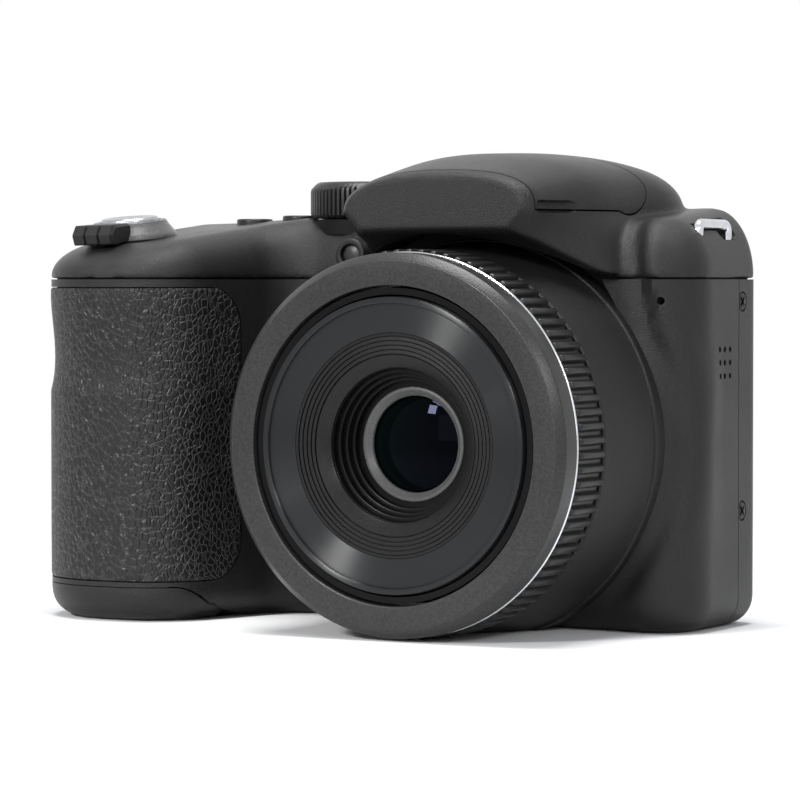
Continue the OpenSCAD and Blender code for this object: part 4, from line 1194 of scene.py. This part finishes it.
def plate(size, corner, low, high, edge, centre, name):
    """Upright plate with rounded corners and edges, facing +Y, between two Y values."""
    w, h = size[0] / 2, size[1] / 2
    rings = []
    for y, draw in ((low, 0), (high - edge, 0), (high - edge * 0.4, edge * 0.15), (high, edge * 0.7)):
        corners = [(sx * (w - draw), sz * (h - draw), max(corner - draw, 0.2))
                   for sx, sz in ((-1, -1), (1, -1), (1, 1), (-1, 1))]
        rings.append([(centre[0] + x, y, centre[1] + z) for x, z in rounded_polygon(corners, 8)])
    return face_outward(tube(rings, name))


def four_way_pad():
    """Ring-shaped pad with a raised rim and a dip towards the middle."""
    profile = [(OK_R + 0.3, 15.2), (PAD_R - 0.05, 15.2), (PAD_R, 17.2)]
    profile += arc_points((PAD_R - 0.5, 17.3), 0.5, 0, 90, 5)
    for t in np.linspace(0.1, 1.0, 8):
        profile.append((PAD_R - 0.5 - (PAD_R - 0.5 - OK_R - 0.5) * t, 17.8 - 0.7 * math.sin(t * math.pi / 2)))
    profile += [(OK_R + 0.3, 16.9)]
    rows = []
    for r, y in profile:
        rows.append([(PAD[0] + r * math.cos(a), y, PAD[1] + r * math.sin(a))
                     for a in np.linspace(0, 2 * math.pi, 128, endpoint=False)])
    return face_outward(grid_torus(rows, "pad_ring"))


def rear_cap(spot, radius, low, high, dish, name):
    return lathe((spot[0], 0, spot[1]), (0, 1, 0), rounded_cap(radius, low, high, 0.35, dish), name, 72)


def pad_marks():
    """Small raised pointers at the four ends of the pad."""
    points, faces = [], []
    for i in range(4):
        a = math.pi / 2 * i
        out = Vector((math.cos(a), 0, math.sin(a)))
        side = Vector((-math.sin(a), 0, math.cos(a)))
        middle = Vector((PAD[0], 0, PAD[1])) + out * 7.6
        first = len(points)
        for y in (17.15, 17.62):
            for p in (out * 0.9, side * 0.9 - out * 0.5, side * -0.9 - out * 0.5):
                points.append(middle + p + Vector((0, y, 0)))
        for face in ((0, 1, 2), (5, 4, 3), (0, 3, 4, 1), (1, 4, 5, 2), (2, 5, 3, 0)):
            faces.append(tuple(first + k for k in face))
    return face_outward(new_object("pad_marks", points, faces))


def port_flap():
    """Soft flap over the socket: a rounded plate with a roll at its foot and a finger notch at its top."""
    y0, y1 = PORT[0] - PORT_SIZE[0] / 2, PORT[0] + PORT_SIZE[0] / 2
    low, high = PORT[1] - PORT_SIZE[1] / 2, PORT[1] + PORT_SIZE[1] / 2
    t = PORT_FLAP_T
    flap = block((-GRIP_X, y0, low + t / 2), (-GRIP_X + t, y1, high), "port_flap")
    soft = flap.modifiers.new("soft", "BEVEL")
    soft.width = 0.28
    soft.segments = 3
    bake(flap)
    combine(flap, rod((-GRIP_X + t / 2, 0, low + t / 2), (0, 1, 0), t / 2, y0, y1, "flap_roll", 32), "UNION")
    notch = rod((-GRIP_X - 0.75, 0, high - 1.4), (0, 1, 0), 1.0, y0 + 0.8, y1 - 0.8, "flap_notch", 40)
    return cut(flap, notch)


def arch_gap_shade():
    """Dark ring in the gap between the hood's arch and the skirt: painted shade, a black sheet that stands
    for the shadow in that gap.
    """
    ring = revolve([(30.2, 7.0), (36.8, 7.0), (36.8, 11.0), (30.2, 11.0)], "arch_gap_shade", 128)
    cut(ring, block((-100, -100, -10), (100, 100, 44)), block((-100, -100, 0), (-17, 100, 100)))
    return ring


def seam_lip():
    """Dark tongue behind the seam under the top cover, all round the housing."""
    rings = []
    for inset, z in ((1.0, 55.5), (1.0, 60.5), (2.0, 60.5), (2.0, 55.5)):
        flat = rounded_outline(OUTLINE, inset)
        rings.append([(x, y, z) for x, y in flat])
    lip = face_outward(grid_torus(rings, "seam_lip"))
    return cut(lip, rod((0, 0, LENS_Z), (0, -1, 0), ARCH_R[0] + 0.4, 0, 60, "lip_arch", 96))


shell = lower_shell()
solid = face_outward(tube(lower_rings(0.0, SEAM_Z, True), "lower_solid"))
door_gap = 0.15

rear_cover = copy_of(shell, "rear_cover_shell")
cut(rear_cover, block((-200, -200, -10), (200, SEAM_Y + SEAM, 100)))

window_hole = (WINDOW_SIZE[0] + 0.4, WINDOW_SIZE[1] + 0.4)
cut(rear_cover, plate(window_hole, 2.2, 10, 20, 0.01, WINDOW, "window_space"),
    rod((PAD[0], 0, PAD[1]), (0, 1, 0), PAD_R + 0.25, 10, 20, "pad_hole", 96))
for _, spot in KEYS:
    cut(rear_cover, rod((spot[0], 0, spot[1]), (0, 1, 0), BUTTON_R + 0.2, 10, 20, "key_hole"))
cut(rear_cover, rod((0, TRIPOD_Y, 0), (0, 0, 1), 4.1, -2, 6, "tripod_hole", 64),
    block((-GRIP_X - 2, PORT[0] - PORT_SIZE[0] / 2 - 0.25, PORT[1] - PORT_SIZE[1] / 2 - 0.25),
          (-GRIP_X + 3, PORT[0] + PORT_SIZE[0] / 2 + 0.25, PORT[1] + PORT_SIZE[1] / 2 + 0.25), "port_recess"))
for place, axis in SCREWS:
    start = Vector(place) - Vector(axis) * 0.45
    cut(rear_cover, rod(start, axis, SCREW_HEAD_R + 0.12, 0, 6, "screw_seat", 40))

battery_door = copy_of(shell, "battery_door_shell")
cut(battery_door, block((-200, -200, DOOR_H - door_gap), (200, 200, 100)),
    block((DOOR_X, -200, -10), (200, 200, 100)),
    block((-200, SEAM_Y - door_gap, -10), (200, 200, 100)))
hinge = (DOOR_X, 0, DOOR_H / 2)
roll = rod(hinge, (0, 1, 0), DOOR_H / 2 - door_gap, -60, SEAM_Y - door_gap, "door_roll", 64)
combine(roll, solid, "INTERSECT")
combine(battery_door, roll, "UNION")
ears = None
for y in EAR_YS:
    near, far = (DOOR_X - EAR_R - 0.3, y - 0.3, -2), (0, y + EAR_T + 0.3, DOOR_H + 1)
    cut(battery_door, block(near, far, "ear_room"))
    ear = rod(hinge, (0, 1, 0), EAR_R, y, y + EAR_T, "door_ears", 48)
    combine(ear, block((DOOR_X - EAR_R, y, DOOR_H / 2), (DOOR_X + EAR_R, y + EAR_T, DOOR_H + 1)), "UNION")
    ears = ear if ears is None else combine(ears, ear, "UNION")

cut(battery_door, block((-68.3, -8.3, -2), (-57.7, -2.7, 4), "latch_slot"))

front_cover = shell
bore = rod((0, 0, LENS_Z), (0, -1, 0), SKIRT_R - 0.6, -2, 60, "bore", 128)
cut(bore, block((-60, -80, -20), (60, 20, 1.7)))
cut(front_cover, block((-200, SEAM_Y, -10), (200, 200, 100)),
    block((-200, -200, -10), (DOOR_X, SEAM_Y + 1, DOOR_H)), bore,
    rod(hinge, (0, 1, 0), DOOR_H / 2 + 0.1, -60, SEAM_Y + 1, "door_roll_room", 64),
    block((DOOR_X - 1, -60, -10), (DOOR_X + DOOR_H / 2 + 0.3, SEAM_Y + 1, DOOR_H / 2)),
    rod((33, 0, 54.7), (0, -1, 0), 0.65, 0, 30, "mic", 24))
wedge = [(8, 61), (22.2, 61), (22.2, SEAM_Z), (26.9, 50.4), (20, 44), (8, 44)]
cut(front_cover, face_outward(tube([[(x, y, z) for x, z in wedge] for y in (-9, -25)], "wedge")))
cut(front_cover, skin_solid(0.1, 2.0, -1.2, "skin_space", 90, 50))
for i in (-1, 0, 1):
    for k in (-1, 0, 1):
        cut(front_cover, rod((FLANK_X - 6, 1 + 2.2 * i, 44.4 + 2.2 * k), (1, 0, 0), 0.5, 0, 20, "vent", 20))

upper_outer = tube(upper_rings(0.0, SEAM_Z + SEAM, 0.0, True), "top_cover_shell")
face_outward(upper_outer)
top_cover = combine(upper_outer, hump_solid(), "UNION")
remesh = top_cover.modifiers.new("blend", "REMESH")
remesh.mode = "VOXEL"
remesh.voxel_size = 0.45
soften = top_cover.modifiers.new("soften", "SMOOTH")
soften.factor = 0.5
soften.iterations = 6
bake(top_cover)
upper_inner = face_outward(tube(upper_rings(1.8, SEAM_Z - 2, 1.9, False), "top_space"))
cut(upper_inner, block([v - 1.6 for v in LUG_POCKET[0]], LUG_POCKET[1]))
cut(top_cover, upper_inner)
cut(top_cover, lid_bar(LID_GAP))
arch = [(0.01, 3), (ARCH_R[0], 3), (ARCH_R[0], 15), (ARCH_R[1], 27), (ARCH_R[1], 60), (0.01, 60)]
cut(top_cover, lathe((0, 0, LENS_Z), (0, -1, 0), arch, "arch", 200))
pocket = block(*LUG_POCKET, "lug_pocket")
rounding = pocket.modifiers.new("round", "BEVEL")
rounding.width = 1.2
rounding.segments = 4
bake(pocket)
cut(top_cover, pocket)
for x, half, crown in (FLANK_LUG, GRIP_LUG):
    groove = rod((x, LUG_Y, crown), (0, 1, 0), LUG_R + 0.2, -half - LUG_R, half + LUG_R, "lug_groove", 40)
    cut(top_cover, groove)
    for s in (-1, 1):
        cut(top_cover, rod((x, LUG_Y + s * half, crown), (0, 0, 1), LUG_R + 0.1, -8, 4, "lug_post", 40))
cut(top_cover, rod((LAMP[0], 0, LAMP[1]), (0, -1, 0), 3.0, 4, 40, "lamp_hole"))
dial_foot = (DIAL[0], DIAL[1], top_plane(*DIAL))
cut(top_cover, rod(dial_foot, (0, 0, 1), DIAL_R + 0.3, 0.6, 20, "dial_well", 96))
for spot in (POWER, BURST):
    cut(top_cover, rod((spot[0], spot[1], 0), (0, 0, 1), 3.4, 55, 90, "hole"))

flash_lid = hump_solid(0.0, name="flash_lid_shell")
combine(flash_lid, lid_bar(0.0), "INTERSECT")
lid_space = hump_solid(-1.7, name="lid_space")
combine(lid_space, block((-17.5, -26.6, 60), (19.5, -9.0, 100), "lid_inside"), "INTERSECT")
cut(flash_lid, lid_space, block((-11, -31, LID_Z + 1), (11, -26, LID_Z + 4.6), "flash_opening"))

# Finger groove along the lid's lower edge, which runs out of the surface at both ends
GROOVE_Z = 70.0
GROOVE_R = 1.05
GROOVE = ((19.6, -29.0), (18.3, -27.6), (19.2, -24.0), (20.1, -21.2), (21.9, -19.6))
for lip in (flash_lid, top_cover):
    cut(lip, wire([(x, y, GROOVE_Z) for x, y in GROOVE], GROOVE_R, "finger_groove"))

finish_piece(front_cover, "camera_body", body_plastic, ["front_cover"], sharp=24)
skirt = front_skirt()
cut(skirt, block((-60, -80, -20), (60, 20, 0.05)))
finish_piece(skirt, "camera_body", body_plastic, ["front_cover"])
# Painted shade: a black ring stands for the shadow between the hood's arch and the skirt.
finish_piece(arch_gap_shade(), "camera_body", inner_black, ["front_cover"])
finish_piece(seam_lip(), "camera_body", inner_black, ["front_cover"])
finish_piece(rear_cover, "camera_body", body_plastic, ["rear_cover"], sharp=24)
finish_piece(ears, "camera_body", body_plastic, ["front_cover"])
finish_piece(battery_door, "battery_door", body_plastic, ["battery_door"], sharp=24)
finish_piece(top_cover, "camera_body", top_plastic, ["top_cover"], sharp=40)
finish_piece(flash_lid, "flash_lid", top_plastic, ["flash_lid"], sharp=40)

finish_piece(skin_solid(0.0, 0.1, -1.0, "grip_skin"), "camera_body", rubber, ["grip_rubber"])
finish_piece(front_bezel(), "camera_body", bezel_plastic, ["front_bezel"])
finish_piece(chrome_line(), "camera_body", chrome, ["chrome_ring"])
finish_piece(knurled_ring(), "camera_body", ring_plastic, ["knurled_ring"], sharp=50)
finish_piece(trim_ring(), "front_barrel", turned_black, ["front_trim_ring"])
finish_piece(rib_ring(), "front_barrel", rib_plastic, ["front_trim_ring"])
finish_piece(lens_tunnel(), "front_barrel", tunnel_black, ["front_trim_ring"])
finish_piece(retainer(), "front_barrel", retainer_grey, ["lens_retainer"])
# The opaque near-black glass is painted shade for the dark lens inside.
finish_piece(front_glass(), "front_barrel", front_coating, ["front_lens"])

finish_piece(shutter_button(), "shutter_button", silver, ["shutter_button"])
finish_piece(lever_collar(), "zoom_lever", collar_grey, ["zoom_lever"])
finish_piece(lever_tab(), "zoom_lever", dark_plastic, ["zoom_lever"])
# Painted shade: the dark seat stands for the shadow under the dial.
finish_piece(dial_seat(), "camera_body", inner_black, ["top_cover"])
finish_piece(dial(), "mode_dial", ring_plastic, ["mode_dial"])
finish_piece(dial_marks(), "mode_dial", mark_white, ["mode_dial"])
for use, spot, lift in (("power", POWER, 0.55), ("burst", BURST, 0.1)):
    cap = top_button(spot, use + "_cap", lift)
    finish_piece(cap, use + "_button", ring_plastic, [use + "_button"])
for lug, lug_name in ((FLANK_LUG, "flank_lug"), (GRIP_LUG, "grip_lug")):
    finish_piece(strap_lug(*lug, lug_name), "camera_body", chrome, ["strap_lugs"])
for n, (place, axis) in enumerate(SCREWS):
    finish_piece(screw(place, axis, f"screw_{n + 1}"), "camera_body", dark_steel, ["cover_screws"])
finish_piece(lamp_boss(), "camera_body", dark_plastic, ["af_lamp"])
finish_piece(lamp_lens(), "camera_body", lamp_glass, ["af_lamp"])

finish_piece(port_flap(), "port_cover", dark_plastic, ["port_cover"])
screen = plate(WINDOW_SIZE, 2.0, REAR_Y - 1.5, REAR_Y - 0.05, 0.35, WINDOW, "screen_cover")
finish_piece(screen, "camera_body", screen_black, ["lcd_window"])
finish_piece(four_way_pad(), "four_way_pad", ring_plastic, ["four_way_pad"])
finish_piece(pad_marks(), "four_way_pad", mark_white, ["four_way_pad"])
ok_cap = rear_cap(PAD, OK_R, 14.4, 17.6, 0.2, "ok_cap")
finish_piece(ok_cap, "ok_button", ring_plastic, ["ok_button"])
for key, spot in KEYS:
    cap = rear_cap(spot, BUTTON_R, 14.4, 17.8, 0.1, key + "_cap")
    finish_piece(cap, key, ring_plastic, [key])


# Looks of the pieces that keep their own solids

NODE_LOOK = {
    "tripod_bush": tunnel_black,
    "flash_window": flash_lens,
    "outer_barrel": tunnel_black,
    "front_barrel": tunnel_black,
    "lcd_panel": screen_black,
}
record_slots = {}
for part in frame["record"]["subparts"]:
    record_slots[part["node"]] = part["material_slot"]
for name, node in frame["nodes"].items():
    look = NODE_LOOK.get(name, SLOT_LOOK.get(record_slots.get(name), dark_plastic))
    node.data.materials.clear()
    node.data.materials.append(look)
    mark = node.modifiers.new("soft_edges", "EDGE_SPLIT")
    mark.split_angle = math.radians(30)
    for face in node.data.polygons:
        face.use_smooth = True


# Floor, backdrop and lights

def add_stage():
    floor = new_object("floor", [(-4, -4, 0), (4, -4, 0), (4, 4, 0), (-4, 4, 0)], [(0, 1, 2, 3)])
    nodes = Nodes("floor_paper")
    speck = nodes.noise(30.0, 3.0)
    nodes.colour(speck, 0.3, 0.7, shade(236), shade(242))
    nodes.set(Roughness=0.9)
    reach = nodes.tree.nodes.new("ShaderNodeVectorMath")
    reach.operation = "LENGTH"
    nodes.link(nodes.place, reach.inputs[0])
    fade = nodes.span(reach.outputs["Value"], 0.1, 0.26, 1.0, 0.0)
    nodes.link(fade, nodes.shader.inputs["Alpha"])
    floor.data.materials.append(nodes.material)

    world = bpy.data.worlds.new("studio")
    bpy.context.scene.world = world
    world.use_nodes = True
    tree = world.node_tree
    tree.nodes.clear()
    output = tree.nodes.new("ShaderNodeOutputWorld")
    mix = tree.nodes.new("ShaderNodeMixShader")
    lit = tree.nodes.new("ShaderNodeBackground")
    lit.inputs["Color"].default_value = (0.9, 0.93, 1.0, 1.0)
    lit.inputs["Strength"].default_value = 0.35
    seen = tree.nodes.new("ShaderNodeBackground")
    seen.inputs["Color"].default_value = (1, 1, 1, 1)
    seen.inputs["Strength"].default_value = 1.0
    path = tree.nodes.new("ShaderNodeLightPath")
    share = path.outputs["Is Camera Ray"]
    for ray in ("Is Glossy Ray", "Is Transmission Ray"):
        either = tree.nodes.new("ShaderNodeMath")
        either.operation = "MAXIMUM"
        tree.links.new(share, either.inputs[0])
        tree.links.new(path.outputs[ray], either.inputs[1])
        share = either.outputs["Value"]
    tree.links.new(share, mix.inputs["Fac"])
    tree.links.new(lit.outputs["Background"], mix.inputs[1])
    tree.links.new(seen.outputs["Background"], mix.inputs[2])
    tree.links.new(mix.outputs["Shader"], output.inputs["Surface"])


def add_light(name, place, target, size, power):
    data = bpy.data.lights.new(name, "AREA")
    data.shape = "RECTANGLE"
    data.size, data.size_y = size
    data.energy = power
    light = bpy.data.objects.new(name, data)
    bpy.context.collection.objects.link(light)
    light.location = place
    light.rotation_euler = (Vector(target) - Vector(place)).to_track_quat("-Z", "Y").to_euler()


add_stage()
bpy.context.scene.view_settings.view_transform = "Standard"
CENTRE = (0, 0, 0.035)
add_light("overhead", (0.0, -0.05, 0.9), CENTRE, (0.45, 0.4), 9.0)
add_light("key_left", (-0.24, -0.98, 0.54), CENTRE, (0.14, 0.14), 8.0)
add_light("key_right", (0.8, -0.6, 0.55), CENTRE, (0.16, 0.16), 2.8)
add_light("front_low", (0.25, -0.95, 0.25), CENTRE, (0.7, 0.4), 1.5)
